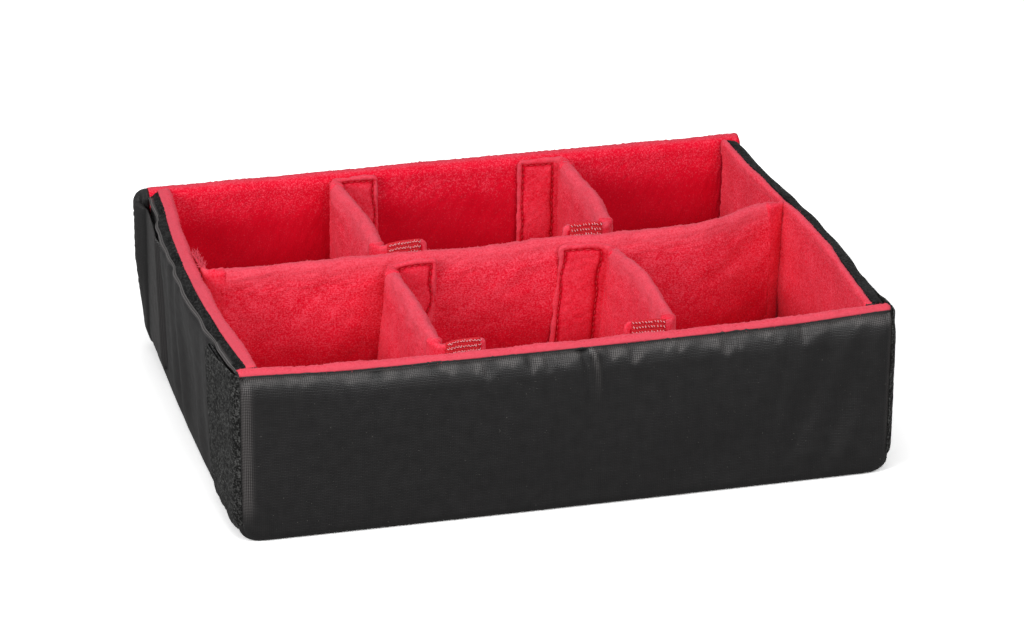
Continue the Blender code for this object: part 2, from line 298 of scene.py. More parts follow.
def between(grids, values, places_at):
    """Values of a lattice, read between its nodes along each of its axes."""
    cells = [cell_of(grid, place) for grid, place in zip(grids, places_at)]
    total = 0
    for corner in range(2 ** len(grids)):
        bits = [corner >> axis & 1 for axis in range(len(grids))]
        weight, index = 1.0, []
        for (cell, share), bit in zip(cells, bits):
            weight = weight * (share if bit else 1 - share)
            index.append(cell + bit)
        found = values[tuple(index)]
        total = total + (found * weight[:, None] if found.ndim > 1 else found * weight)
    return total


class Puckers:
    """The nylon face of a wall as simulated cloth, cut longer than the wall that it is sewn to."""

    def __init__(self, wall):
        self.s = np.linspace(-wall.long / 2, wall.long / 2, max(2, round(wall.long / (3.2 * MM))))
        self.t = np.linspace(0, wall.top, max(2, round(wall.top / (3.2 * MM))))
        count = (len(self.s), len(self.t))
        self.out = np.zeros(count)
        s, t = (a.ravel() for a in np.meshgrid(self.s, self.t, indexing="ij"))
        start = 0.25 * MM * waves(np.column_stack([s, t]), 12 * MM, wall.seed + 200)
        sewn = np.zeros(count, bool)
        sewn[[0, -1]] = sewn[:, [0, -1]] = True
        start[sewn.ravel()] = 0
        points = np.column_stack([s, start, wall.top - t])
        number = np.arange(s.size).reshape(count)
        quads = np.stack([number[:-1, :-1], number[:-1, 1:], number[1:, 1:], number[1:, :-1]], -1)
        rest = np.column_stack([s * (1 + wall.slack), 0 * s, (wall.top - t) * 1.002])
        lay = settled(points, quads.reshape(-1, 4), sewn.ravel(), WALL_PRESSURE, rest)
        self.out = -lay[:, 1].reshape(count)
        window = np.ones(11) / 11
        self.out -= np.apply_along_axis(np.convolve, 0, self.out, window, mode="same")

    def height(self, s, t):
        """How far the cloth stands out at a place, with its highest folds pressed flatter."""
        raw = between((self.s, self.t), self.out, (s, t))
        return PUCKER_CAP * np.tanh(raw / PUCKER_CAP)


class Puff:
    """A sleeve as simulated cloth: a closed block, sewn at its ends and foot and blown up."""

    def __init__(self, divider, start, end, half):
        self.grids = (np.linspace(start, end, round((end - start) / (4 * MM))), np.array([-half, 0, half]),
                      np.linspace(divider.foot, divider.top, round((divider.top - divider.foot) / (4 * MM))))
        self.moved = None
        slab = Slab(*self.grids, SLEEVE_RADII)
        s, v, z = slab.at.T
        points = np.column_stack([s, v * divider.thick(s) / divider.full, z])
        points[:, 1] += 0.15 * MM * waves(slab.at, 14 * MM, divider.seed + 200)
        sewn = (slab.drawn[:, 0] < start + 1e-6) | (slab.drawn[:, 0] > end - 1e-6)
        sewn |= slab.drawn[:, 2] < divider.foot + 1e-6
        middle = points.mean(0)
        rest = middle + (points - middle) * (1.012, 1.0, 1.006)
        lay = settled(points, slab.quads, sewn, SLEEVE_PRESSURE, rest) - points
        lay *= min(1.0, PUFF_CAP / np.abs(lay).max())
        self.moved = np.zeros((*[len(grid) for grid in self.grids], 3))
        at = [np.searchsorted(grid, slab.drawn[:, axis] - 1e-7) for axis, grid in enumerate(self.grids)]
        self.moved[tuple(at)] = lay

    def shift(self, drawn):
        if self.moved is None:
            return np.zeros(drawn.shape)
        return between(self.grids, self.moved, drawn.T)


# Pieces

def make_piece(name, points, quads, material, thickness=0.0, weave=None, wear=None):
    """A mesh object of the points that the faces use, with cloth thickness inward if one is given."""
    used, faces = np.unique(quads, return_inverse=True)
    mesh = bpy.data.meshes.new(name)
    mesh.from_pydata(points[used].tolist(), [], faces.reshape(quads.shape).tolist())
    mesh.shade_smooth()
    mesh.materials.append(material)
    if weave is not None:
        attribute = mesh.attributes.new("weave", "FLOAT_VECTOR", "POINT")
        flat = np.column_stack([weave[used], np.zeros(len(used))])
        attribute.data.foreach_set("vector", flat.astype(np.float32).ravel())
    # attribute saying where highlight and shade are painted: paler where positive, darker where negative
    if wear is not None:
        attribute = mesh.attributes.new("wear", "FLOAT", "POINT")
        attribute.data.foreach_set("value", wear[used].astype(np.float32))
    piece = bpy.data.objects.new(name, mesh)
    bpy.context.scene.collection.objects.link(piece)
    if thickness:
        cloth = piece.modifiers.new("cloth", "SOLIDIFY")
        cloth.thickness = thickness
        cloth.offset = -1
        cloth.use_even_offset = False
    return piece


def dress(piece, body, slot, *nodes):
    """The piece rides on its body and stands for the nodes, which are hidden; the slot is not used."""
    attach(piece, body)
    if nodes:
        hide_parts(*nodes)
    return piece


def make_core(body, points, quads):
    """The foam inside a wall, the base or a divider."""
    foam = make_piece(f"{body}_foam_core", points, quads, LOOKS["foam"])
    dress(foam, body, "foam", f"{body}_foam")


# Materials

class Look:
    """A material and its node tree, with short calls to add nodes."""

    def __init__(self, name, colour, roughness, **settings):
        self.material = bpy.data.materials.new(name)
        self.material.use_nodes = True
        self.tree = self.material.node_tree
        self.shader = self.tree.nodes["Principled BSDF"]
        self.shader.inputs["Base Color"].default_value = (*colour, 1)
        self.shader.inputs["Roughness"].default_value = roughness
        for socket, value in settings.items():
            self.shader.inputs[socket.replace("_", " ")].default_value = value

    def add(self, kind, inputs, **properties):
        made = self.tree.nodes.new(kind)
        for key, value in properties.items():
            setattr(made, key, value)
        for socket, value in inputs.items():
            if isinstance(value, bpy.types.NodeSocket):
                self.tree.links.new(value, made.inputs[socket])
            else:
                made.inputs[socket].default_value = value
        return made

    def place(self):
        return self.add("ShaderNodeTexCoord", {}).outputs["Object"]

    def weave(self):
        return self.add("ShaderNodeAttribute", {}, attribute_name="weave").outputs["Vector"]

    def scaled(self, vector, scale, turn=0.0):
        mapping = self.add("ShaderNodeMapping", {"Vector": vector, "Scale": scale})
        mapping.inputs["Rotation"].default_value = (0, 0, turn)
        return mapping.outputs["Vector"]

    def noise(self, vector, size, detail=2.0, roughness=0.5):
        made = self.add("ShaderNodeTexNoise", {"Vector": vector, "Scale": 1 / size, "Detail": detail,
                                               "Roughness": roughness})
        return made.outputs["Fac"]

    def cells(self, vector, size):
        return self.add("ShaderNodeTexVoronoi", {"Vector": vector, "Scale": 1 / size}).outputs["Distance"]

    def sum(self, *terms):
        """The terms, each a socket with its weight, added up."""
        total = None
        for socket, weight in terms:
            part = self.add("ShaderNodeMath", {0: socket, 1: weight}, operation="MULTIPLY").outputs[0]
            total = part if total is None else self.add("ShaderNodeMath", {0: total, 1: part}).outputs[0]
        return total

    def stripes(self, vector, axis, pitch):
        """A wave of unit height along one axis of the vector."""
        split = self.add("ShaderNodeSeparateXYZ", {"Vector": vector})
        turned = self.add("ShaderNodeMath", {0: split.outputs[axis], 1: 2 * math.pi / pitch},
                          operation="MULTIPLY").outputs[0]
        return self.add("ShaderNodeMath", {0: turned}, operation="SINE").outputs[0]

    def spread(self, value, low, high, to_low=0.0, to_high=1.0):
        made = self.add("ShaderNodeMapRange", {"Value": value, "From Min": low, "From Max": high,
                                               "To Min": to_low, "To Max": to_high})
        return made.outputs["Result"]

    def blend(self, factor, first, second):
        made = self.add("ShaderNodeMix", {0: factor}, data_type="RGBA")
        for index, colour in ((6, first), (7, second)):
            if isinstance(colour, bpy.types.NodeSocket):
                self.tree.links.new(colour, made.inputs[index])
            else:
                made.inputs[index].default_value = (*colour, 1)
        return made.outputs[2]

    def paint(self, colour):
        self.tree.links.new(colour, self.shader.inputs["Base Color"])

    def roughen(self, value):
        self.tree.links.new(value, self.shader.inputs["Roughness"])

    def emboss(self, height, distance, strength=1.0):
        made = self.add("ShaderNodeBump", {"Height": height, "Distance": distance, "Strength": strength})
        self.tree.links.new(made.outputs["Normal"], self.shader.inputs["Normal"])


def fleece_look(name, ribbed=False, sheen=0.22, deeper=0.0, coarse=1.0):
    """Brushed loop fleece: a dense red nap, paler where its loops catch the light; painted highlight where the
    mesh attribute is positive, and painted shade, a deeper red, where it is negative.
    """
    look = Look(name, (0.76, 0.005, 0.026), 0.90, Sheen_Weight=sheen, Sheen_Roughness=0.42,
                Sheen_Tint=(1.0, 0.40, 0.50, 1), Specular_IOR_Level=0.06)
    at = look.place()
    loops = look.noise(at, 1.0 * MM, 2.0, 0.65)
    fibres = look.noise(at, 0.6 * MM, 1.0, 0.6)
    nap = look.noise(at, 16 * MM, 2.0)
    brushed = look.noise(look.scaled(at, (1, 1, 0.6)), 6 * MM, 2.0)
    tone_and_painted_light = look.add("ShaderNodeAttribute", {}, attribute_name="wear").outputs["Fac"]
    grain = [(loops, 0.64 * coarse), (fibres, 0.38 * coarse), (nap, 0.10), (brushed, 0.08), (tone_and_painted_light, 0.16)]
    height = [(loops, 0.8), (fibres, 0.35)]
    if ribbed:
        ribs = look.stripes(look.weave(), 1, 1.25 * MM)
        grain.append((ribs, 0.016))
        height.append((ribs, 0.05))
    deep = look.blend(look.spread(nap, 0.3, 0.7), (0.72, 0.003, 0.023), (0.76, 0.006, 0.030))
    level = 0.52 + deeper - 0.51 * (1 - coarse)
    napped = look.blend(look.spread(look.sum(*grain), level, level + 0.24), deep, (0.95, 0.100, 0.155))
    # painted shade: a deep red where the attribute is negative, lower down on walls, pads and tabs
    pressed = look.blend(look.spread(tone_and_painted_light, -1.0, 0.0, 0.95, 0.0), napped, (0.42, 0.001, 0.008))
    # painted highlight: a pale pink where the attribute is positive, along rims, pad tops and tab edges
    look.paint(look.blend(look.spread(tone_and_painted_light, 0.0, 1.0, 0.0, 0.90), pressed, (0.62, 0.068, 0.098)))
    look.emboss(look.sum(*height), 0.26 * MM, 0.8)
    return look.material


def nylon_look(name):
    """Black nylon twill: two slants of fine ribs that cross, with a faint greyish shine; where the mesh attribute
    is positive its ribs are painted pale as highlights, and where it is negative the cloth is near-black, painted
    shade in creases and slits and a dark band by a binding.
    """
    look = Look(name, (0.012, 0.0115, 0.012), 0.40, Sheen_Weight=0.05, Sheen_Roughness=0.35,
                Sheen_Tint=(0.8, 0.78, 0.78, 1), Specular_IOR_Level=0.42)
    at = look.weave()
    slant = look.stripes(look.scaled(at, (1, 1, 1), 50 * DEGREE), 0, 1.45 * MM)
    cross = look.stripes(look.scaled(at, (1, 1, 1), -50 * DEGREE), 0, 1.45 * MM)
    threads = look.stripes(at, 1, 1.6 * MM)
    uneven = look.noise(at, 7 * MM, 3.0)
    streaks = look.noise(look.scaled(at, (1, 0.12, 1)), 2.2 * MM, 2.0)
    lint = look.noise(look.place(), 1.0 * MM, 1.0)
    weave = look.add("ShaderNodeMath", {0: slant, 1: cross}, operation="MULTIPLY").outputs[0]
    shade = look.sum((weave, 0.20), (threads, 0.06), (uneven, 0.50), (streaks, 0.35))
    cloth = look.blend(look.spread(shade, 0.05, 0.80), (0.0070, 0.0066, 0.0068), (0.0190, 0.0178, 0.0180))
    tone_and_painted_light = look.add("ShaderNodeAttribute", {}, attribute_name="wear").outputs["Fac"]
    # painted highlight: the pale colour that the twill ribs take where highlights are painted
    rubbed = look.blend(look.spread(weave, -0.3, 0.5), (0.011, 0.0100, 0.0100), (0.170, 0.156, 0.153))
    cloth = look.blend(look.spread(tone_and_painted_light, 0.0, 1.0, 0.0, 0.8), cloth, rubbed)
    # near-black where the attribute is negative: painted shade in the pleat's valley and a flap's slit, and the
    # dark band beside a binding
    cloth = look.blend(look.spread(tone_and_painted_light, -1.0, 0.0, 0.9, 0.0), cloth, (0.0035, 0.0035, 0.0035))
    look.paint(look.blend(look.spread(lint, 0.765, 0.80, 0.0, 0.5), cloth, (0.20, 0.19, 0.17)))
    matt = look.spread(tone_and_painted_light, -1.0, 0.0, 0.45, 0.0)
    look.roughen(look.sum((look.spread(uneven, 0.3, 0.7, 0.36, 0.50), 1.0), (matt, 1.0)))
    look.emboss(look.sum((weave, 0.5), (threads, 0.12), (slant, 0.12)), 0.13 * MM, 1.0)
    return look.material


def loop_look(name, base):
    """Napped loop cloth: short curls of yarn, tangled every way."""
    look = Look(name, base, 0.80, Sheen_Weight=0.05, Sheen_Roughness=0.4, Specular_IOR_Level=0.12)
    at = look.place()
    curls = look.noise(at, 1.9 * MM, 1.0, 0.5)
    fuzz = look.noise(at, 0.9 * MM, 1.0, 0.7)
    tone_and_painted_light = look.noise(at, 12 * MM, 2.0)
    strands = look.stripes(at, 2, 1.5 * MM)
    shade = look.sum((curls, 0.7), (fuzz, 0.9), (tone_and_painted_light, 0.20), (strands, 0.03))
    pale = tuple(14.0 * c for c in base)
    look.paint(look.blend(look.spread(shade, 0.84, 1.16), base, pale))
    look.emboss(look.sum((curls, 0.8), (fuzz, 0.8)), 0.35 * MM, 1.0)
    return look.material


def tape_look(name, base, roughness):
    """Woven tape: close weft ribs across fine warp threads."""
    look = Look(name, base, roughness, Specular_IOR_Level=0.5)
    at = look.place()
    rows = look.stripes(at, 2, 1.1 * MM)
    fuzz = look.noise(at, 0.6 * MM, 2.0)
    pale = tuple(min(1.0, 1.5 * c + 0.01) for c in base)
    look.paint(look.blend(look.spread(look.sum((rows, 0.3), (fuzz, 0.8)), 0.1, 0.8), base, pale))
    look.emboss(look.sum((rows, 0.5), (fuzz, 0.5)), 0.25 * MM, 0.8)
    return look.material


def foam_look(name):
    """Closed-cell foam: fine pits all over."""
    look = Look(name, (0.10, 0.10, 0.11), 0.9)
    at = look.place()
    pits = look.cells(at, 0.9 * MM)
    look.paint(look.blend(look.spread(pits, 0.1, 0.6), (0.06, 0.06, 0.065), (0.13, 0.13, 0.14)))
    look.emboss(pits, 0.4 * MM, 0.6)
    return look.material


def thread_look(name, colour):
    """Sewing thread: two plies twisted together."""
    look = Look(name, colour, 0.55, Specular_IOR_Level=0.4)
    twist = look.stripes(look.scaled(look.place(), (1, 1, 1), 40 * DEGREE), 2, 0.5 * MM)
    pale = tuple(min(1.0, 1.3 * c + 0.02) for c in colour)
    look.paint(look.blend(look.spread(twist, -1, 1), colour, pale))
    look.emboss(twist, 0.08 * MM, 0.6)
    return look.material


def hook_look(name, colour):
    """Hooks of clear-tinted monofilament, which sparkle."""
    look = Look(name, colour, 0.5, Specular_IOR_Level=0.3)
    tint = look.noise(look.place(), 2 * MM)
    pale = tuple(min(1.0, c + 0.25) for c in colour)
    look.paint(look.blend(look.spread(tint, 0.35, 0.65), colour, pale))
    return look.material


LOOKS = {
    "nylon": nylon_look("black_nylon_twill"),
    "fleece": fleece_look("red_fleece_lining"),
    "tab_fleece": fleece_look("red_fleece_tabs", coarse=0.55),
    # a deeper copy of the lining for the back wall's inner face, with less sheen: painted shade
    "shaded_back_fleece": fleece_look("red_fleece_back_lining", sheen=0.03, deeper=0.06),
    "divider_fleece": fleece_look("red_fleece_divider", ribbed=True),
    "foam": foam_look("closed_cell_foam"),
    "flap_cloth": loop_look("black_flap_cloth", (0.007, 0.007, 0.0068)),
    "black_loop_tape": loop_look("black_loop_tape", (0.006, 0.006, 0.006)),
    "black_hook_tape": tape_look("black_hook_tape", (0.012, 0.012, 0.0125), 0.6),
    "red_hook_tape": tape_look("red_hook_tape", (0.50, 0.003, 0.014), 0.85),
}
BINDING = loop_look("black_rim_binding", (0.0022, 0.0022, 0.0022))
RED_THREAD = thread_look("red_thread", (0.50, 0.004, 0.016))
RED_HOOKS = hook_look("red_hooks", (0.98, 0.42, 0.46))
BLACK_HOOKS = hook_look("black_hooks", (0.05, 0.05, 0.05))
TUFT = thread_look("pale_red_yarn", (0.72, 0.075, 0.12))


# Walls

class Wall:
    """One padded wall: its place in the frame, how its pad leans and sags, and how its cloth lies."""

    hem_angle = 0.0             # how far round the rim's outer edge the hem runs; negative if further in
    bow = sag = 1.0 * MM        # how far the pad bulges outward, and its rim sinks, half-way along
    shoulder = 1.0 * MM         # how far the rim's outer edge is drawn inward
    square = 0.0                # how much sharper the rim's inner edge is than the others
    askew = 0.0                 # how far the rim leans inward at the end with the lower s
    longer = (0.0, 0.0)         # how much longer than the solid each end is near the rim
    cap = (END_CAP, END_CAP)    # how far the nylon reaches in from each end
    roll, steep = 8 * MM, 0.2   # how far below the hem the nylon is full, and how steeply it swells to that
    gathers = ()                # gathers besides the random ones
    folds = None                # a function that adds folds of this wall's own
    wear = None                 # a function for where highlight and shade are painted on its nylon, if not just the painted highlight on the shoulder
    creased = 0.1 * MM          # height of the upright creases, and how wide they are
    crease_size = 9 * MM
    slack = 0.03                # how much longer than the wall its nylon is cut
    calm = 1.0                  # the share of its folds that the nylon has at the hem
    flat_end = 0.0              # how far from each end the nylon lies flat, under a flap
    ridge = 0.0                 # how far below the hem the stitched ridge lies, where there is a binding
    binding = False
    lining = "fleece"           # look of the lining, and the height of its broad unevenness
    uneven = 0.30 * MM
    rubbed, pressed = 0.55, 0.0  # how much painted highlight the lining has near the rim, and how much painted shade lower down

    def __init__(self, name, seed, **settings):
        self.name, self.seed = name, seed
        vars(self).update(settings)
        hinge = Vector(JOINTS[f"{name}_fold"]["pos_m"]).xy
        self.reach = hinge.length
        outward = hinge.normalized()
        self.heading = Vector((outward.y, -outward.x))
        low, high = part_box(f"{name}_lining")
        inner = min(abs(low.xy.dot(outward)), abs(high.xy.dot(outward)))
        self.thick = self.reach - inner
        low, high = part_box(f"{name}_cover")
        self.long = abs((high - low).xy.dot(self.heading))
        self.top = high.z
        self.line = straight(outward * (self.reach - self.thick / 2), self.heading)
        if self.hem_angle > 45 * DEGREE:
            self.hem = self.thick / 2 + WALL_RADIUS - WALL_RADIUS / math.tan(self.hem_angle)
        else:
            self.hem = self.thick / 2 - WALL_RADIUS + WALL_RADIUS * math.tan(self.hem_angle)

    def stretched(self, at):
        """The block's points, moved along the wall where its ends are longer or shorter near the rim."""
        at = at.copy()
        for sign, longer in zip((-1, 1), self.longer):
            near_end = above(sign * at[:, 0] - self.long / 2, -30, 20)
            at[:, 0] += sign * longer * near_end * above(at[:, 2], 0, 50)
        return at

    def lean(self, s, z):
        """How far the pad bulges outward, and how far its rim sinks, at a place along it."""
        along = np.clip(1 - (2 * s / self.long) ** 2, 0, 1)
        up = np.clip(z / self.top, 0, 1)
        out = self.bow * along ** 1.3 * (0.25 + 0.75 * smooth(up))
        out = out - self.askew * below(s, 50, 150) * above(z, 0, 50)
        return out, self.sag * smooth(along * 1.6) * up ** 3

    def form(self, s, v, z):
        out, drop = self.lean(s, z)
        up = np.clip(z / self.top, 0, 1)
        shoulder = self.shoulder * smooth((up - 0.84) / 0.16) * np.clip(0.5 + v / self.thick, 0, 1)
        lift = FOOT_CLOTH * (1 - above(z, 0, 6)) * above(self.thick / 2 - 2 * MM - v, 0, 3)
        return self.line(s, v + out - shoulder, z - drop + lift)

    def push(self, points):
        """Moves points that lie against the wall outward with its bulge."""
        s = points[:, :2] @ np.array(self.heading)
        outward = np.array([-self.heading.y, self.heading.x, 0])
        return points + np.outer(self.lean(s, points[:, 2])[0], outward)

    def rolled(self, drawn):
        """Distance over the rim, from its crest outward and down: 0 is the middle of the rim."""
        v, z = drawn[:, 1], drawn[:, 2]
        on_face = np.abs(v) >= self.thick / 2 - 1e-6
        return v + np.where(on_face, np.sign(v) * (self.top - z), 0)


def wall_lattice(wall):
    """Places along, across and up, close where the cloth rolls over the rim and round the ridge."""
    half_long, half = wall.long / 2, wall.thick / 2
    s = places(-half_long, half_long, 1.6 * MM, (wall.cap[0] - half_long, half_long - wall.cap[1]))
    hem_rows = [wall.hem + step * MM for step in (-2.6, -1.4, -0.6, 0, 0.6, 1.4, 2.6, 4.2)]
    if wall.binding:
        hem_rows += [wall.hem + wall.ridge + step * MM for step in (-1.6, -0.9, -0.3, 0.3, 0.9, 1.6, 2.4, 3.4)]
    across = [row for row in hem_rows if abs(row) < half - 0.2 * MM]
    down = [wall.top - (row - half) for row in hem_rows if row > half + 0.2 * MM]
    v = places(-half, half, 1.4 * MM, across)
    band = wall.top - 22 * MM
    upper = places(band, wall.top, 1.3 * MM, down)
    lower = places(0, band, 2.6 * MM, (LINING_FOOT,))
    return s, v, np.concatenate([lower[:-1], upper])


def wall_radii(wall):
    """Roundness along, across and up: ends are nearly square at the rim and well rounded at the foot."""
    def radii(drawn):
        s, v, z = drawn.T
        near_end = above(np.abs(s) - wall.long / 2, -16, 12)
        upper = above(z - wall.top, -15, 10)
        lower = 1 - above(z, 3, 14)
        along = WALL_RADIUS - 3.4 * MM * upper + 5.0 * MM * lower
        across = WALL_RADIUS - 2.6 * MM * lower - wall.square * above(-v, 0, 1.5) * upper
        up = across + 6.0 * MM * lower * near_end
        return np.column_stack([along, across, up])
    return radii


def pucker_field(wall, s, t):
    """The nylon tucked in at its hem: it swells to its full height further down at each gather."""
    lean = gather_lean(wall, s)
    left = (gather_reach(wall, s, t) - t) / (0.7 * MM)
    sunk = wall.steep * 0.7 * MM * np.logaddexp(0, left)
    tuck = -5.5 * MM * np.tanh(sunk / (5.5 * MM))
    crease = np.zeros(len(s))
    for spot, wide, deep in gather_spots(wall):
        fade = above(t, 0, 2) * (1 - smooth(t / (deep + wall.roll)))
        crease += 0.20 * deep * np.exp(-((s - spot - lean * t) / (0.38 * wide)) ** 2) * fade
    flat = np.column_stack([s, 0.35 * t])
    return tuck + crease + 0.16 * MM * waves(flat, 3.0 * MM, wall.seed + 1) * decay(t, 4)


def gather_spots(wall):
    """Where the nylon is gathered at its hem: the place along it, how wide and how deep."""
    rng = np.random.default_rng(wall.seed)
    count = int(wall.long / (8 * MM))
    spots = (np.arange(count) + rng.uniform(0.1, 0.9, count)) * wall.long / count - wall.long / 2
    spots = [(spot, rng.uniform(1.8, 4.0) * MM, rng.uniform(0.3, 4.6) * MM * rng.random()) for spot in spots]
    return spots + list(wall.gathers)


def gather_lean(wall, s):
    """How far aside a gather runs for each step down."""
    return 0.25 * waves_along(s, 40 * MM, wall.seed + 7)


def gather_reach(wall, s, t):
    """How far below the hem the nylon swells to its full height; further at each gather."""
    lean = gather_lean(wall, s)
    reach = wall.roll + 1.1 * MM * waves_along(s, 22 * MM, wall.seed + 6)
    for spot, wide, deep in gather_spots(wall):
        tip = np.clip(1 - np.abs(s - spot - lean * t) / wide, 0, 1)
        reach = reach + deep * tip ** 0.9
    return reach


def wrinkle_field(wall, s, z):
    """Slack in the nylon face: broad waves and soft upright creases."""
    broad = waves(np.column_stack([s, z]), 34 * MM, wall.seed + 2)
    creases = waves(np.column_stack([s, 0.16 * z]), wall.crease_size, wall.seed + 3)
    inside = above(z, 0, 20) * above(wall.long / 2 - np.abs(s), 0, 16)
    return inside * (0.38 * MM * broad + wall.creased * creases)


def nylon_height(wall, slab, t, outer):
    """How far the nylon stands out: its crown, tucks, gathers and wrinkles, and the simulated folds."""
    s, v, z = slab.drawn.T
    half_long, half = wall.long / 2, wall.thick / 2
    crown = 1.2 * MM * np.clip(1 - (s / half_long) ** 2, 0, 1) * (1 - (2 * z / wall.top - 1) ** 2)
    nylon = np.where(v > 0, crown * np.clip(v / half, 0, 1), 0)
    down = np.where(outer, np.clip(t, 0, None), 1)
    nylon += np.where(outer, pucker_field(wall, s, down) + wrinkle_field(wall, s, z), 0)
    if wall.folds:
        nylon += np.where(outer, wall.folds(wall, s, z, t), 0)
    cloth = Puckers(wall)
    fade = LOW_FOLDS + (1 - LOW_FOLDS) * decay(down, 16)
    nylon += np.where(outer, 1.6 * cloth.height(s, down) * fade, 0)
    nylon -= np.where(outer, 0.4 * MM * decay(down, 0.9), 0)
    nylon *= 1 - (1 - wall.calm) * decay(down, 30)
    if wall.flat_end:
        under_flap = above(np.abs(s) - half_long + wall.flat_end, 0, 8) * below(z, 99, 3)
        nylon = nylon * (1 - under_flap)
    return nylon


def fleece_height(wall, slab, t):
    """How far the lining's nap stands out: full beside the hem, drawn down into it."""
    fleece = 0.45 * MM * above(-t, 0, 1.5) - 0.5 * MM * np.exp(t / (0.5 * MM))
    fleece += 0.16 * MM * waves(slab.at, 1.5 * MM, wall.seed + 4)
    return fleece + wall.uneven * waves(slab.at, 16 * MM, wall.seed + 5)


def make_wall(wall):
    """A wall's nylon, its lining with fuzz along the rim, its binding if it has one, and its foam."""
    name, half_long, half = wall.name, wall.long / 2, wall.thick / 2
    slab = Slab(*wall_lattice(wall), wall_radii(wall))
    s, v, z = slab.drawn.T
    t = wall.rolled(slab.drawn) - wall.hem
    outer = (t > 0) & (v > 0)
    middles = slab.middles()
    over_rim = wall.rolled(middles)
    at_end = (middles[:, 0] < wall.cap[0] - half_long) | (middles[:, 0] > half_long - wall.cap[1])
    if wall.binding:
        at_end &= middles[:, 2] < wall.top - 0.1 * MM
    cover = (over_rim > wall.hem) | at_end | (middles[:, 2] < LINING_FOOT)
    t_middle = over_rim - wall.hem
    bound_to = ridge_level(wall, middles[:, 0]) - 2.0 * MM
    bound = cover & (t_middle > 0) & (t_middle < bound_to) & wall.binding & ~at_end

    def surface(height):
        return wall.form(*wall.stretched(slab.at + slab.facing * height[:, None]).T)

    at = surface(nylon_height(wall, slab, t, outer))
    weave = np.column_stack([s + np.sign(s) * np.abs(slab.facing[:, 0]) * (half - v), t])
    if wall.binding:
        dress(make_piece(f"{name}_rim_binding", at, slab.quads[bound], BINDING, NYLON), name, "nylon")
    # painted highlight and shade on the nylon: its shoulder, and the pleat, ends and ridge where a wall has them
    tone_and_painted_light = np.where(outer, (wall.wear or shoulder_highlight)(wall, s, z, t), 0)
    faces = slab.quads[cover & ~bound]
    cloth = make_piece(f"{name}_cover_cloth", at, faces, LOOKS["nylon"], NYLON, weave, tone_and_painted_light)
    dress(cloth, name, "nylon", f"{name}_cover")
    at = surface(fleece_height(wall, slab, t))
    # painted highlight on the lining near the rim, and painted shade lower down, deeper on the back wall
    tone_and_painted_light = wall.rubbed * above(t, -13, 6) + 0.35 * above(t, -6, 4)
    tone_and_painted_light -= 0.5 * below(z, 70, 60) + wall.pressed * below(z, 93, 22)
    faces = slab.quads[~cover]
    cloth = make_piece(f"{name}_lining_cloth", at, faces, LOOKS[wall.lining], FLEECE, weave, tone_and_painted_light)
    dress(cloth, name, "fleece", f"{name}_lining")
    fuzz = make_fuzz(f"{name}_rim_fuzz", at, slab.quads, ~cover & (over_rim > -18 * MM), 0.22, wall.seed + 90)
    dress(fuzz, name, "fleece")
    inset = FOAM_INSET
    core = Slab(places(inset - half_long, half_long - inset, 8 * MM),
                places(inset - half, half - inset, 2 * MM),
                places(inset, wall.top - inset, 8 * MM), WALL_RADIUS - inset)
    drawn_in = 5.5 * MM * above(core.at[:, 2] - wall.top, -20, 14)
    core.at[:, 1] -= drawn_in * np.clip(core.at[:, 1] / (half - inset), 0, 1)
    make_core(name, wall.form(*wall.stretched(core.at).T), core.quads)


def shoulder_highlight(wall, s, z, t):
    """Painted highlight on the nylon along the shoulder below the hem, down to the tips of the gathers."""
    down = np.clip(t, 0, None)
    reach = gather_reach(wall, s, down)
    patchy = 0.55 + 0.25 * waves(np.column_stack([s, 0.5 * t]), 6 * MM, wall.seed + 93)
    patchy += 0.45 * hump(down - 2.2 * MM, 1.6)
    return patchy * above(down, 0.3, 0.7) * (1 - above(down - reach, -1.2, 1.8))


def front_highlight_and_shade(wall, s, z, t):
    """Painted highlights as on every shoulder, on the crest of the deep pleat and on the wall's two rounded ends,
    and painted shade in the pleat's valley.
    """
    down = np.clip(t, 0, None)
    crest = hump(-s - pleat_crest(down), 1.5) * hump(down, 20)
    valley = hump(-s - 7.5 * MM, 2.2) * decay(down, 16)
    at_left = above(s - wall.long / 2, -9, 3) * above(z, 8, 20)
    at_right = above(-s - wall.long / 2, -4, 2) * above(z, 8, 20)
    tone_and_painted_light = shoulder_highlight(wall, s, z, t) * (1 - valley) + 1.1 * crest
    tone_and_painted_light = tone_and_painted_light + 0.80 * np.maximum(at_left, 0.7 * at_right)
    return np.clip(tone_and_painted_light, 0, 1) - 0.5 * valley


def pleat_crest(down):
    """Where the pleat's crest lies across the front, which swings to the right as it falls."""
    return 10.0 * MM + 5.5 * MM * (1 - decay(down, 12))


def front_folds(wall, s, z, t):
    """The deep pleat right of the middle, and slanted tension folds towards the right end."""
    x = -s
    down = np.clip(t, 0, None)
    fall = decay(down, 18) * above(t, 0, 1)
    pleat = -3.4 * MM * hump(x - pleat_crest(down) + 5.0 * MM, 2.8) * fall
    pleat += 3.6 * MM * hump(x - pleat_crest(down), 2) * fall
    reach = above(x, 95, 60) * below(x, 188, 20)
    slant = (x - 157 * MM) - 0.33 * z
    return pleat + 0.55 * MM * np.cos(2 * math.pi * slant / (23 * MM)) * reach * above(z, 0, 25)


def ridge_level(wall, s):
    """How far below the hem the stitched ridge runs."""
    return wall.ridge + 0.45 * MM * waves_along(s, 38 * MM, 91)


def ridge_highlight(wall, s, z, t):
    """A painted highlight along the ridge, under a dark band that runs up to the hem."""
    level = ridge_level(wall, s)
    band = above(level - 2.2 * MM - t, 0, 0.8)
    return 1.5 * hump(t - level - 0.1 * MM, 1.9) - 1.0 * band


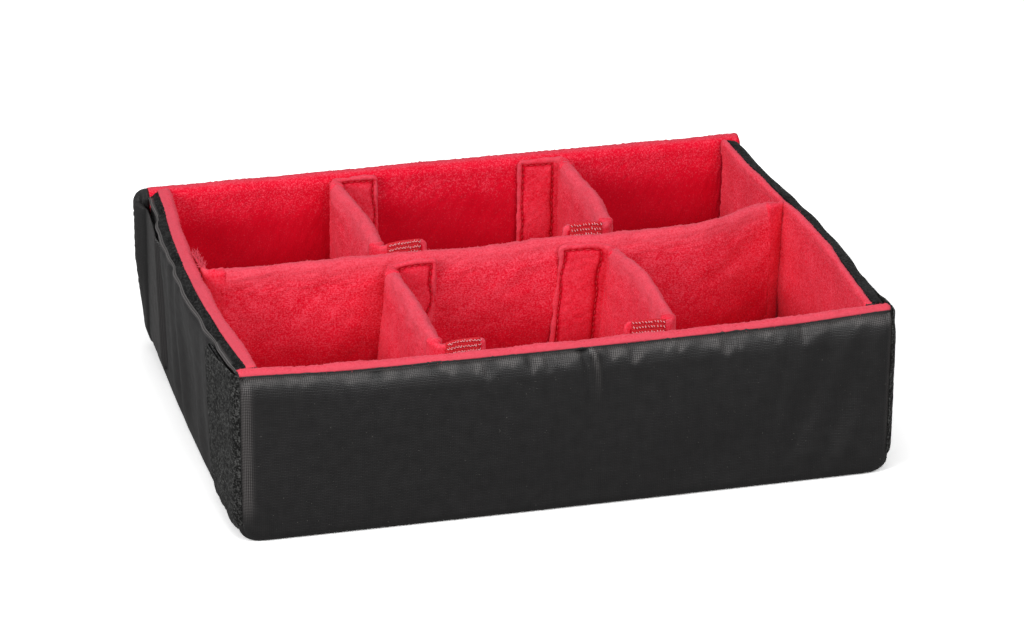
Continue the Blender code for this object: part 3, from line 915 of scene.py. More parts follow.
def ridge_folds(wall, s, z, t):
    """The raised line along the wall's rim, where the nylon is stitched down over the foam's edge."""
    level = ridge_level(wall, s)
    high = 1.7 * MM + 0.16 * MM * waves_along(s, 14 * MM, 92)
    return high * hump(t - level, 1.6) - 0.8 * MM * hump(t - level - 3.2 * MM, 1.3)


# Gathers that the photograph shows at the front's hem: place from the middle, width and depth in millimetres
FRONT_GATHERS = ((-49.5, 4.5, 6.0), (-23.3, 4.0, 6.5), (-14.6, 3.0, 4.5), (-5.0, 5.0, 3.0), (22.0, 5.0, 3.5),
                 (35.0, 3.2, 6.5), (90.0, 4.0, 5.5), (119.5, 4.0, 6.0), (137.0, 4.5, 6.0), (64.0, 4.0, 3.0))


def make_walls():
    gathers = [(-x * MM, wide * MM, deep * MM) for x, wide, deep in FRONT_GATHERS]
    side = dict(creased=0.55 * MM, crease_size=13 * MM, steep=0.08, binding=True)
    walls = [
        Wall("front_wall", 11, hem_angle=49 * DEGREE, bow=3.0 * MM, sag=2.2 * MM, shoulder=2.2 * MM,
             roll=7.5 * MM, steep=0.44, slack=0.06, gathers=gathers, folds=front_folds, wear=front_highlight_and_shade),
        Wall("back_wall", 22, hem_angle=47 * DEGREE, sag=0.5 * MM, shoulder=1.5 * MM,
             longer=(3.6 * MM, -7.5 * MM), cap=(5.0 * MM, END_CAP), lining="shaded_back_fleece", uneven=0.10 * MM,
             pressed=0.5),
        Wall("left_wall", 33, hem_angle=14 * DEGREE, bow=6.0 * MM, square=3.0 * MM, longer=(2.0 * MM, 4.0 * MM),
             ridge=9.0 * MM, folds=ridge_folds, wear=ridge_highlight, **side),
        Wall("right_wall", 44, hem_angle=-25 * DEGREE, bow=4.0 * MM, square=4.4 * MM, longer=(0.0, 2.5 * MM),
             ridge=13 * MM, askew=7.5 * MM, calm=0.15, rubbed=0.15, **side),
    ]
    walls = {wall.name: wall for wall in walls}
    left = walls["left_wall"]
    left.flat_end = left.long / 2 - abs(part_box("front_left_flap")[1].y) + 6 * MM
    for wall in walls.values():
        make_wall(wall)
    return walls


# Base

def make_base():
    """The base's fleece, which dips a little between its edges, its nylon and its foam."""
    low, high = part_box("base_cover")
    hem, top = (corner.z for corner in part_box("base_lining"))
    long, half = high.x - low.x, (high.y - low.y) / 2
    slab = Slab(places(-long / 2, long / 2, 2.4 * MM), places(-half, half, 2.4 * MM),
                places(0, top, 1.3 * MM, (hem,)), 3 * MM)
    is_lining = slab.middles()[:, 2] > hem
    s, v = slab.drawn.T[:2]
    inside = above(long / 2 - np.abs(s), 0, 12) * above(half - np.abs(v), 0, 12)
    nap = 0.16 * MM * waves(slab.at, 1.6 * MM, 51)
    nap -= 0.25 * MM * inside * (1 + waves(slab.at, 25 * MM, 52)) / 2
    form = straight((0, 0), (1, 0))
    lining = make_piece("base_lining_cloth", form(*(slab.at + slab.facing * nap[:, None]).T),
                        slab.quads[is_lining], LOOKS["fleece"], FLEECE)
    dress(lining, "base", "fleece", "base_lining")
    cover = make_piece("base_cover_cloth", form(*slab.at.T), slab.quads[~is_lining], LOOKS["nylon"], NYLON,
                       np.column_stack([s, v]))
    dress(cover, "base", "nylon", "base_cover")
    inset = FOAM_INSET
    core = Slab(places(inset - long / 2, long / 2 - inset, 12 * MM),
                places(inset - half, half - inset, 12 * MM),
                places(inset, top - inset, 2 * MM), 0.5 * MM)
    make_core("base", form(*core.at.T), core.quads)


# Dividers

def cover_line(name):
    """The centre line of a divider's cover in plan, its greatest thickness, its foot and its top."""
    node = bpy.data.objects[f"{name}_cover"]
    tree = BVHTree.FromPolygons([v.co for v in node.data.vertices], [p.vertices for p in node.data.polygons])
    low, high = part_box(f"{name}_cover")
    run = 0 if high.x - low.x > high.y - low.y else 1
    across = 1 - run
    centres, thick = [], []
    for place in np.linspace(low[run] + 0.1 * MM, high[run] - 0.1 * MM, 90):
        faces = []
        for side, start in ((1, low[across] - 10 * MM), (-1, high[across] + 10 * MM)):
            origin, way = Vector((0, 0, (low.z + high.z) / 2)), Vector((0, 0, 0))
            origin[run], origin[across], way[across] = place, start, side
            faces.append(tree.ray_cast(origin, way)[0][across])
        point = [0, 0]
        point[run], point[across] = place, sum(faces) / 2
        centres.append(point)
        thick.append(abs(faces[1] - faces[0]))
    return np.array(centres), max(thick), low.z, high.z


class Divider:
    """A divider's pad: its line in plan, how thick it is along it, and its foot and top."""

    dips, tilt = (), 0.0        # where its top edge sinks, and how far its far top leans to the right
    draws = None                # how far each end is drawn inward at a height, where it leans off its seat

    def __init__(self, name, seed):
        self.name, self.seed = name, seed
        self.centres, self.full, self.foot, self.top = cover_line(name)
        self.line = along_line(self.centres)
        self.long = self.line.length

    def thick(self, s):
        """Thickness a distance s along the pad: a sewn edge at each end swells to the full pad."""
        near = np.minimum(s, self.long - s)
        return SEWN_EDGE + (self.full - SEWN_EDGE) * above(near, 3, 11) ** 0.8

    def drawn_in(self, s, z):
        """How far each place is drawn along the pad, where an end leans off its seat or follows it."""
        first = self.draws[0](z) * (1 - above(s, 0, DRAWN_OVER))
        last = self.draws[1](z) * (1 - above(self.long - s, 0, DRAWN_OVER))
        return first - last

    def form(self, s, v, z):
        points = self.line(s + self.drawn_in(s, z), v, z - self.sink(s, z))
        points[:, 0] += self.leaning(s, z)
        return points

    def leaning(self, s, z):
        """How far the pad leans to the right near its far end."""
        return self.tilt * above(z, 22, 78) * (1 - above(self.long - s, 0, 80))

    def sink(self, s, z):
        """How far the top edge sinks along the pad, where the sleeve is slack."""
        up = smooth((z - self.foot) / (self.top - self.foot)) ** 2
        drop = 0.35 * MM * waves_along(s, 22 * MM, self.seed) + 0.3 * MM
        for middle, wide, deep in self.dips:
            drop = drop + deep * np.exp(-((s - middle) / wide) ** 2)
        return drop * up


def make_sleeve(divider):
    """A pad's fleece sleeve with its fuzz, and the foam inside it."""
    name, foot, top, half = divider.name, divider.foot, divider.top, divider.full / 2
    start, end = CORE_START, divider.long - CORE_START
    band = top - 16 * MM
    slab = Slab(places(start, end, 1.7 * MM, (start + 0.5 * MM, end - 0.5 * MM)), places(-half, half, 1.2 * MM),
                np.concatenate([places(foot, band, 2.4 * MM)[:-1], places(band, top, 1.1 * MM)]), SLEEVE_RADII)
    s, v, z = slab.at.T
    up = (z - foot) / (top - foot)
    swell = 1.0 - 0.16 * smooth((up - 0.86) / 0.14) - 0.08 * smooth((0.2 - up) / 0.2)
    flat = np.column_stack([s, z])
    slack = waves(flat, 30 * MM, divider.seed + 1) * 0.35 * MM
    slack += waves(flat, 11 * MM, divider.seed + 2) * 0.12 * MM
    inside = above(s - start, 0, 10) * above(end - s, 0, 10)
    height = 0.15 * MM * waves(slab.at, 1.5 * MM, divider.seed + 3)
    height += 0.18 * MM * waves(slab.at, 6 * MM, divider.seed + 4)
    height += slack * inside * np.abs(slab.facing[:, 1])
    v = v * divider.thick(s) / divider.full * swell
    puff = Puff(divider, start, end, half).shift(slab.drawn)
    at = divider.form(*(np.column_stack([s, v, z]) + slab.facing * height[:, None] + puff).T)
    around = np.abs(v) + np.where(z > top - PAD_RADIUS, 0, top - PAD_RADIUS - z)
    # painted highlight along the pad's top, and painted shade lower down, deeper on the long divider
    pressed = 0.75 if name == "long_divider" else 0.4
    tone_and_painted_light = 0.5 * above(z - top, -15, 14) - pressed * below(z, 76, 60)
    sleeve = make_piece(f"{name}_sleeve", at, slab.quads, LOOKS["divider_fleece"],
                        weave=np.column_stack([s, np.sign(v) * around]), wear=tone_and_painted_light)
    dress(sleeve, name, "divider_fleece", f"{name}_cover")
    high_up = slab.middles()[:, 2] > top - 5 * MM
    fuzz = make_fuzz(f"{name}_top_fuzz", at, slab.quads, high_up, 0.30, divider.seed + 50)
    dress(fuzz, name, "divider_fleece")
    inset = 2.0 * MM
    core = Slab(places(start + inset, end - inset, 6 * MM), places(inset - half, half - inset, 1.5 * MM),
                places(foot + 0.4 * MM, top - inset, 6 * MM), PAD_RADIUS - inset)
    s, v, z = core.at.T
    v = v * (divider.thick(s) - 2 * inset) / (divider.full - 2 * inset)
    make_core(name, divider.form(s, v, z), core.quads)


class Tab:
    """A divider's end: from inside the sleeve it turns along the seat and lies on it."""

    def __init__(self, divider, label):
        self.divider, self.name = divider, f"{divider.name}_{label}_tab"
        self.rise = LEAF_RISE.get(label, 0.0)
        self.wider = LEAF_WIDER.get(self.name, 0.0)
        self.slack = 0.5 if label in ("front", "back") else 0.2
        self.tape_up = 4.2 * MM if label == "front" else 0.0
        low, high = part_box(self.name)
        hook_low, hook_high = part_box(f"{self.name}_hook_tape")
        self.low, self.high = low.z, high.z
        corners = np.array([[low.x, low.y], [high.x, high.y]])
        self.at_start = np.linalg.norm(divider.centres[0] - corners[0]) < 60 * MM
        self.seed = divider.seed + (5 if self.at_start else 9)
        line = divider.centres if self.at_start else divider.centres[::-1]
        run = np.concatenate([[0], np.cumsum(np.linalg.norm(np.diff(line, axis=0), axis=1))])
        end = line[0]
        away = np.round((line[6] - end) / np.linalg.norm(line[6] - end))
        along = np.array([-away[1], away[0]])
        along = along * np.sign((corners.mean(0) - end) @ along)
        reach = ((corners - end) @ along).max()
        rest = ((corners - end) @ away).mean()
        tape = np.array([[corner.x, corner.y] for corner in (hook_low, hook_high)])
        self.hooks = sorted((tape - end) @ along), (hook_low.z, hook_high.z)
        self.from_end = CORE_START + TAB_LAP
        inward = np.arange(self.from_end, rest + FOLD_RADIUS, -0.5 * MM)
        inward = np.column_stack([np.interp(inward, run, line[:, axis]) for axis in (0, 1)])
        turn = np.linspace(0, math.pi / 2, 12)[:, None]
        pivot = end + along * FOLD_RADIUS + away * (rest + FOLD_RADIUS)
        arc = pivot - along * FOLD_RADIUS * np.cos(turn) - away * FOLD_RADIUS * np.sin(turn)
        flat = end + along * np.linspace(FOLD_RADIUS + 0.5 * MM, reach, 40)[:, None] + away * rest
        self.line = along_line(np.vstack([inward, arc, flat]))
        self.long = self.line.length
        self.bend_s = self.from_end - rest - FOLD_RADIUS
        self.flat_s = self.bend_s + FOLD_RADIUS * math.pi / 2
        self.end, self.along, self.away = end, along, away
        side = np.array([-along[1], along[0]])
        self.seat_side = float(np.sign(side @ -away))

    def wander(self, place):
        """How far the line of stitches strays sideways at a place along it."""
        return 0.45 * MM * waves_along(place, 11 * MM, self.seed + 15)

    def s_of(self, a):
        """Distance along the path of a place a along the seat from the pad's middle."""
        return self.flat_s + a - FOLD_RADIUS

    def thick(self, s):
        """Thickness of the pad's end inside the sleeve, and of the leaf beyond the fold."""
        w = self.from_end - s
        pad = self.divider.thick(np.clip(w, 0, None)) - 0.5 * MM * above(w - CORE_START, -1.5, 1.5)
        return np.where(s < self.bend_s, pad, LEAF + (SEWN_EDGE - LEAF) * (1 - above(s - self.bend_s, 0, 5)))

    def form(self, s, v, z):
        """Follows the path; the upper part of the leaf follows its seat or stands off it, and creeps up."""
        plan = self.line(s, v, z)
        far = above(s - self.flat_s, -2, 12)
        up = above(z - self.high, -30, 30)
        inside = np.clip(self.from_end - s, 0, None)
        shift = self.divider.draws[0 if self.at_start else 1](z) * (1 - above(inside, 0, DRAWN_OVER))
        ripple = 0.35 * MM * waves(np.column_stack([s, z]), 24 * MM, self.seed) * far
        plan[:, :2] += np.outer(shift + ripple * self.slack, self.away)
        place = inside if self.at_start else self.divider.long - inside
        plan[:, 0] += self.divider.leaning(place, z)
        plan[:, :2] += np.outer(self.wider * above(s - self.flat_s, 0, 14), self.along)
        plan[:, 2] += self.rise * far * up - self.divider.sink(place, z) * (1 - 0.5 * far)
        return plan


def corner_cut(s, long, radius):
    """How far a round corner at the far end of a leaf is cut back from its edge."""
    over = np.clip(s - (long - radius), 0, radius)
    return radius - np.sqrt(np.clip(radius ** 2 - over ** 2, 0, None))


def seam_distance(s, z, tab):
    """Distance to the line of stitches round a leaf."""
    wander_s, wander_z = tab.wander(z), tab.wander(s + ELSEWHERE)
    sides = (tab.long - STITCH_INSET - s + wander_s, tab.high - STITCH_INSET - z + wander_z,
             z - tab.low - STITCH_INSET - wander_z, s - tab.s_of(STITCH_START) - wander_s)
    return np.abs(np.minimum.reduce(sides))


def make_tab(tab):
    """A leaf of fleece, pressed in along its stitches, with its hook tape and thread."""
    half = 1.7 * MM
    steps = (-1.0 * MM, 0, 1.0 * MM)
    rows = [STITCH_INSET + step for step in steps]
    s_exact = [tab.long - row for row in rows] + [tab.s_of(STITCH_START) + step for step in steps]
    z_exact = [tab.high - row for row in rows] + [tab.low + row for row in rows]
    slab = Slab(places(0, tab.long, 1.15 * MM, s_exact), places(-half, half, 1.2 * MM),
                places(tab.low, tab.high, 1.5 * MM, z_exact), (0.9 * MM, 1.3 * MM, 1.1 * MM))
    s, v, z = slab.at.T
    flat = np.column_stack([s, z])
    shown = above(s - tab.bend_s, 0, 4)
    sewn = hump(seam_distance(s, z, tab), 0.8) * above(s - tab.flat_s, 0, 3)
    rim = np.minimum.reduce([tab.long - s, tab.high - z, z - tab.low])
    patchy = 0.75 + 0.25 * waves(flat, 9 * MM, tab.seed + 12)
    # paler along the leaf's edges, brushed nap with painted highlight; painted shade in the stitched groove and
    # lower down
    tone_and_painted_light = 0.46 * patchy * (1 - above(rim, 2, 1.2)) * shown - 1.0 * sewn
    tone_and_painted_light -= 0.45 * below(z, 70, 60) + 0.02 * above(rim, 3.6, 1.5) * shown
    groove = -0.75 * MM * sewn
    face = slab.facing[:, 1] * tab.seat_side < -0.3
    puff = 0.35 * MM * above(seam_distance(s, z, tab), 0, 3) * shown
    nap = 0.15 * MM * waves(slab.at, 1.5 * MM, tab.seed + 1)
    height = nap + np.where(face, groove + puff, 0)
    edge = 0.3 * MM * waves(flat, 7 * MM, tab.seed + 2) * (1 - np.abs(slab.facing[:, 1]))
    middle = (tab.low + tab.high) / 2
    tall = (tab.high - tab.low) / 2
    z = middle + (z - middle) * (tall - corner_cut(s, tab.long, 3.0 * MM)) / tall
    at = np.column_stack([s, v * tab.thick(s) / (2 * half), z]) + slab.facing * (height + edge)[:, None]
    leaf = make_piece(f"{tab.name}_cloth", tab.form(*at.T), slab.quads, LOOKS["tab_fleece"],
                      weave=np.column_stack([s, z]), wear=tone_and_painted_light)
    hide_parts(tab.name)
    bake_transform(leaf)
    make_hook_tape(tab)
    make_stitches(tab)


def make_hook_tape(tab):
    """The strip sewn to a leaf's seat side: a woven back and close rows of small hooks."""
    (near, far), (low, high) = tab.hooks
    s_low, s_high = tab.s_of(near), min(tab.s_of(far), tab.long - 1.5 * MM)
    side, high = tab.seat_side, high + tab.tape_up
    back_v, front_v = (0.5 * LEAF + 0.05 * MM) * side, (0.5 * LEAF + 0.55 * MM) * side
    slab = Slab(places(s_low, s_high, 1.4 * MM), np.sort([back_v, front_v]),
                places(low, high, 1.6 * MM), 0.2 * MM)
    tape = make_piece(f"{tab.name}_hook_strip", tab.form(*slab.at.T), slab.quads, LOOKS["red_hook_tape"])
    dress(tape, tab.name, "red_hook_tape", f"{tab.name}_hook_tape")
    columns = places(s_low + 1.2 * MM, s_high - 1.2 * MM, 1.8 * MM)
    rows = places(low + 1.2 * MM, high - 1.4 * MM, 3.0 * MM)
    hooks = make_hooks(f"{tab.name}_hooks", columns, rows, front_v, side, tab.form, RED_HOOKS,
                       tab.seed, 2.1 * MM)
    dress(hooks, tab.name, "red_hook_tape")


def tube_quads(count, rings, sides):
    """The quads of so many thin tubes, each with the given number of rings and sides."""
    ring, corner = (places_at.ravel() for places_at in np.mgrid[:rings - 1, :sides])
    first, after = sides * ring, (corner + 1) % sides
    quads = np.column_stack([first + corner, first + after, first + sides + after, first + sides + corner])
    return (quads[None] + rings * sides * np.arange(count)[:, None, None]).reshape(-1, 4)


def make_hooks(name, columns, rows, base_v, side, form, material, seed, tall):
    """A field of small bent hooks that stand on a strip, each a three-sided stem that curls over."""
    rng = np.random.default_rng(seed)
    grid_s, grid_z = (a.ravel() for a in np.meshgrid(columns, rows))
    count = len(grid_s)
    grid_s = grid_s + rng.uniform(-0.2, 0.2, count) * MM
    grid_z = grid_z + rng.uniform(-0.2, 0.2, count) * MM
    turn = rng.uniform(-0.35, 0.35, count) + 0.6
    path = np.array([(0, -0.1), (0.0, 0.45), (0.12, 0.8), (0.36, 0.95), (0.58, 0.78), (0.62, 0.58)]) * tall
    around = np.array([0, 2 * math.pi / 3, 4 * math.pi / 3])
    radius = np.array([0.13, 0.12, 0.11, 0.10, 0.09, 0.08]) * tall
    lean = rng.normal(0, 0.12, count)
    scale = rng.uniform(0.85, 1.1, count)
    points = np.zeros((count, len(path), 3, 3))
    for step, (forth, up) in enumerate(path):
        for corner, angle in enumerate(around):
            out = forth + radius[step] * math.cos(angle)
            sideways = radius[step] * math.sin(angle)
            along = (out * scale + lean * up) * np.cos(turn) - sideways * np.sin(turn)
            across = (out * scale + lean * up) * np.sin(turn) + sideways * np.cos(turn)
            height = base_v + side * up * scale
            points[:, step, corner] = np.column_stack([grid_s + across, height, grid_z + along])
    return make_piece(name, form(*points.reshape(-1, 3).T), tube_quads(count, len(path), 3), material)


def make_fibres(name, roots, ways, radius, seed):
    """Loose ends of yarn: from each root a thin strand runs along its way and curls aside."""
    rng = np.random.default_rng(seed)
    count = len(roots)
    steps = (0.0, 0.35, 0.7, 1.0)
    thin = np.array([1.0, 0.9, 0.75, 0.4]) * radius
    length = np.linalg.norm(ways, axis=1)[:, None]
    ahead = ways / length
    side = np.cross(ahead, rng.normal(size=(count, 3)))
    side /= np.linalg.norm(side, axis=1)[:, None]
    other = np.cross(ahead, side)
    curl = rng.uniform(0.1, 0.45, count)[:, None]
    points = np.zeros((count, len(steps), 3, 3))
    for ring, step in enumerate(steps):
        centre = roots + ways * step + side * length * curl * step ** 2
        for corner in range(3):
            angle = 2 * math.pi * corner / 3
            points[:, ring, corner] = centre + thin[ring] * (math.cos(angle) * side + math.sin(angle) * other)
    return make_piece(name, points.reshape(-1, 3), tube_quads(count, len(steps), 3), TUFT)


def make_fuzz(name, points, quads, chosen, per_face, seed):
    """Short fibre ends that stand on the chosen faces of a fleece surface."""
    rng = np.random.default_rng(seed)
    picked = quads[chosen]
    picked = picked[rng.random(len(picked)) < per_face]
    corners = points[picked]
    share = rng.random((len(picked), 2))
    low = corners[:, 0] + (corners[:, 1] - corners[:, 0]) * share[:, :1]
    high = corners[:, 3] + (corners[:, 2] - corners[:, 3]) * share[:, :1]
    roots = low + (high - low) * share[:, 1:]
    facing = np.cross(corners[:, 2] - corners[:, 0], corners[:, 3] - corners[:, 1])
    facing /= np.linalg.norm(facing, axis=1)[:, None]
    ways = facing + rng.normal(0, 0.55, (len(picked), 3))
    ways /= np.linalg.norm(ways, axis=1)[:, None]
    ways *= rng.uniform(0.6, 1.3, len(picked))[:, None] * FIBRE_LENGTH
    return make_fibres(name, roots - facing * 0.2 * MM, ways, 0.11 * MM, seed + 1)


def make_tuft(tab):
    """Yarn ends that fray out of the upper end of a leaf."""
    rng = np.random.default_rng(tab.seed + 8)
    count = 260
    s = rng.uniform(tab.s_of(3 * MM), tab.long, count)
    z = np.where(rng.random(count) < 0.75, tab.high - 0.4 * MM, tab.high - rng.uniform(0, 5, count) * MM)
    roots = tab.form(s, rng.uniform(-0.9, 0.9, count) * MM, z)
    ways = rng.normal(0, 0.55, (count, 3)) + np.array([-0.25, -0.1, 0.9])
    ways *= rng.uniform(1.6, 4.2, count)[:, None] * MM / np.linalg.norm(ways, axis=1)[:, None]
    tuft = make_fibres(f"{tab.name}_frayed_yarn", roots, ways, 0.17 * MM, tab.seed + 9)
    dress(tuft, tab.name, "divider_fleece")


def stitch_spots(tab):
    """Ends of each stitch round a leaf, in path and height, with the line's small wanders."""
    rng = np.random.default_rng(tab.seed + 3)
    s_low, s_high = tab.s_of(STITCH_START), tab.long - STITCH_INSET
    z_low, z_high = tab.low + STITCH_INSET, tab.high - STITCH_INSET
    corners = [(s_low, z_low), (s_high, z_low), (s_high, z_high), (s_low, z_high), (s_low, z_low)]
    pitch = STITCH_LENGTH + STITCH_GAP
    spots = []
    for (s0, z0), (s1, z1) in zip(corners, corners[1:]):
        length = math.hypot(s1 - s0, z1 - z0)
        along = np.array([s1 - s0, z1 - z0]) / length
        normal = np.array([-along[1], along[0]])
        upright = s0 == s1
        count = round(length / pitch)
        for k in range(count):
            share = np.array([k + 0.16, k + 0.16 + STITCH_LENGTH / pitch]) / count
            across = rng.normal(0, 0.16, 2) * MM
            ends = [np.array([s0, z0]) + along * length * t + normal * a for t, a in zip(share, across)]
            for end in ends:
                place = end[1] if upright else end[0] + ELSEWHERE
                end[0 if upright else 1] += tab.wander(np.array([place]))[0]
            spots.append(ends)
    return np.array(spots)


def make_stitches(tab):
    """Short threads round a leaf, each rising out of the cloth and diving back."""
    spots, side = stitch_spots(tab), -tab.seat_side
    base_v = side * (0.5 * LEAF - 0.12 * MM)
    share = (0.0, 0.2, 0.5, 0.8, 1.0)
    rise = np.array([-0.25, 0.12, 0.25, 0.12, -0.25]) * MM
    radius = np.array([0.6, 1.0, 1.05, 1.0, 0.6]) * THREAD
    around = np.linspace(0, 2 * math.pi, 7)[:-1]
    start, end = spots[:, 0], spots[:, 1]
    along = end - start
    along = along / np.linalg.norm(along, axis=1)[:, None]
    normal = np.column_stack([-along[:, 1], along[:, 0]])
    points = np.zeros((len(spots), len(share), len(around), 3))
    for ring in range(len(share)):
        centre = start + (end - start) * share[ring]
        for corner, angle in enumerate(around):
            flat = centre + normal * radius[ring] * math.cos(angle)
            up = base_v + side * (rise[ring] + radius[ring] * math.sin(angle))
            points[:, ring, corner] = np.column_stack([flat[:, 0], np.full(len(spots), up), flat[:, 1]])
    thread = make_piece(f"{tab.name}_stitches", tab.form(*points.reshape(-1, 3).T),
                        tube_quads(len(spots), len(share), len(around)), RED_THREAD)
    dress(thread, tab.name, "divider_fleece")


def make_dividers(walls):
    places_of = ("long", "front_left", "front_right", "back_left", "back_right")
    for count, name in enumerate(f"{place}_divider" for place in places_of):
        divider = Divider(name, 100 + 20 * count)
        first, last = divider.centres[0], divider.centres[-1]
        if name == "long_divider":
            divider.draws = follow_wall(walls["left_wall"], first[1]), follow_wall(walls["right_wall"], last[1])
        elif name.startswith("front"):
            divider.draws = stand_off(2.0 * MM), stand_off(0.4 * MM)
            divider.dips = [(divider.long, 30 * MM, 3.6 * MM)]
            divider.tilt = 5.5 * MM
        else:
            divider.draws = stand_off(4.0 * MM), follow_wall(walls["back_wall"], last[0])
        make_sleeve(divider)
        for label in (("left", "right") if name == "long_divider" else ("front", "back")):
            tab = Tab(divider, label)
            make_tab(tab)
            if label == "left":
                make_tuft(tab)


def follow_wall(wall, place):
    """Keeps a pad's end against a wall that bulges outward."""
    return lambda z: -wall.lean(np.full(len(z), place), z)[0]


def stand_off(most):
    """Lets the upper part of a pad's end stand off its seat."""
    return lambda z: most * above(z, 62, 40)


# Corner flaps

class Flap:
    """The flap at one corner; side is -1 on the left, and way is 1 where it runs back from the front."""

    def __init__(self, corner, side, way, end_wall, wall):
        self.corner, self.side, self.way, self.end_wall, self.wall = corner, side, way, end_wall, wall
        self.name = f"{corner}_flap"
        low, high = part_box(self.name)
        self.low, self.high = low.z, high.z
        self.hinge = abs(JOINTS[f"{self.name}_peel"]["pos_m"][0])
        self.middle = max(abs(low.x), abs(high.x)) - FLAP_CLOTH / 2
        self.root, self.tip = (low.y, high.y) if way > 0 else (high.y, low.y)
        middle = self.middle
        points = [(self.hinge - 1.6 * MM, -4.6 * MM), (self.hinge - 0.2 * MM, -3.4 * MM),
                  (middle - 0.8 * MM, -1.6 * MM), (middle - 0.1 * MM, 1.4 * MM), (middle, 4.5 * MM)]
        points += [(middle, d) for d in np.linspace(8 * MM, abs(self.tip - self.root), 24)]
        self.line = along_line([(side * x, self.root + way * d) for x, d in points])
        self.long = self.line.length
        self.outward = -side * way

    def form(self, s, v, z):
        """Follows the corner and the wall; tucked in at the foot, and hugging the wall at its tip."""
        near_root = 1 - above(s, 0, 24)
        tuck = 2.6 * MM * (1 - above(z, 1, 16)) + 2.6 * MM * near_root * (1 - above(z, 0, 13))
        hug = 2.6 * MM * above(s - self.long, -5.5, 4.5)
        loose = 0.0
        if self.way < 0 and self.side < 0:
            loose = 5.0 * MM * hump(s - 8 * MM, 7.5) * above(z, 8, 60)
            loose = loose * np.clip(0.5 + v * self.outward / FLAP_CLOTH, 0, 1)
        if self.way < 0:
            hug = hug + 1.0 * MM * above(s, 16, 6)
        if self.side > 0:
            hug = hug + 1.4 * MM * above(z, 84, 12) * above(s, 0, 6)
        points = self.wall.push(self.line(s, v - self.outward * (tuck + hug - loose), z))
        points[:, 1] += self.way * 4.5 * MM * near_root * (1 - above(z, 0, 11))
        return points

    def slant(self, s):
        """How far the upper edge rises above the solid's, which slopes down from the corner."""
        if self.way > 0:
            start = 3.2 * MM if self.side < 0 else 1.8 * MM
            return start - (start + 4.4 * MM) * smooth((s - 2 * MM) / (self.long - 8 * MM))
        slant = 1.2 * MM - 4.6 * MM * above(s, 1, 10)
        if self.side > 0:
            slant = slant - 3.5 * MM * (1 - above(s, 6, 14))
        return slant


def make_flap_cloth(flap, start, end, tag):
    """A length of a flap's cloth: the front ones are stitched near the tip, the back ones slit near the corner."""
    way, long, seed, half = flap.way, flap.long, flap.wall.seed, FLAP_CLOTH / 2
    ridge_rows = [long - row * MM for row in (5.2, 4.0, 2.6, 1.3)]
    slab = Slab(places(start, end, 1.5 * MM, ridge_rows), places(-half, half, 0.6 * MM),
                places(flap.low, flap.high, 1.6 * MM), (0.5 * MM, 0.5 * MM, 0.9 * MM))
    s, v, z = slab.at.T
    outside = slab.facing[:, 1] * flap.outward > 0.2
    ridge = 0.6 * MM * (hump(long - 1.2 * MM - s, 0.8) + 0.8 * hump(long - 4.6 * MM - s, 0.8))
    ridge *= above(flap.high - z, 0, 8) * (way > 0)
    slit = hump(s - 19 * MM, 1.6) * (way < 0)
    ridge -= 0.6 * MM * slit
    fuzz = 0.14 * MM * waves(slab.at, 1.6 * MM, seed + 60) + 0.16 * MM * waves(slab.at, 9 * MM, seed + 61)
    height = np.where(outside, fuzz * (1.0 if way > 0 and flap.side < 0 else 0.25) + ridge, 0)
    upper = above(z - flap.high, -24, 24)
    lower = 1 - above(z - flap.low, 0, 16)
    corner = corner_cut(s, long, 4 * MM if way > 0 else 10 * MM)
    raised = 4.0 * MM * (1 - above(s, 0, 16)) if way > 0 else 4.0 * MM
    z = z + (flap.slant(s) - corner) * upper + (corner - 1.0 * MM + raised) * lower
    z = z + 0.3 * MM * waves_along(s, 11 * MM, seed + 62) * (upper - lower)
    at = np.column_stack([s, v, z]) + slab.facing * height[:, None]
    look = LOOKS["flap_cloth" if way > 0 else "nylon"]
    return make_piece(f"{flap.name}_{tag}", flap.form(*at.T), slab.quads, look,
                      # painted shade, near-black, in the slit; a little paler from 22 mm along on
                      weave=np.column_stack([s, z]), wear=0.25 * above(s, 22, 10) - 1.0 * slit)


def make_flap(flap):
    """A flap: the seam that bends with the corner, the cloth and its hook tape, and the loop tape under it."""
    name, side, way, outward = flap.name, flap.side, flap.way, flap.outward
    fold_end = 9.0 * MM
    seam = make_flap_cloth(flap, 0.0, fold_end, "seam")
    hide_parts(name)
    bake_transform(seam)
    cloth = make_flap_cloth(flap, fold_end - 1.0 * MM, flap.long, "cloth")
    dress(cloth, name, "flap_cloth", name)
    low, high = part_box(f"{name}_hook_tape")
    near, far = sorted(abs(y - flap.root) for y in (low.y, high.y))
    offset = flap.long - abs(flap.tip - flap.root)
    s_low, s_high = offset + near, offset + far
    z_low, z_high = tape_heights(low, high, way)
    back_v, front_v = -outward * (FLAP_CLOTH / 2 + 0.05 * MM), -outward * (FLAP_CLOTH / 2 + 0.5 * MM)
    slab = Slab(places(s_low, s_high, 2 * MM), np.sort([back_v, front_v]),
                places(z_low, z_high, 2 * MM), 0.2 * MM)
    tape = make_piece(f"{name}_hook_strip", flap.form(*slab.at.T), slab.quads, LOOKS["black_hook_tape"])
    dress(tape, name, "black_hook_tape", f"{name}_hook_tape")
    columns, rows = (places(a + 1.5 * MM, b - 1.5 * MM, 2 * MM) for a, b in ((s_low, s_high), (z_low, z_high)))
    hooks = make_hooks(f"{name}_hooks", columns, rows, front_v, -outward, flap.form, BLACK_HOOKS,
                       flap.wall.seed + 63, 0.55 * MM)
    dress(hooks, name, "black_hook_tape")
    for piece in (cloth, tape, hooks):
        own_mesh(piece)
    make_loop_tape(flap)


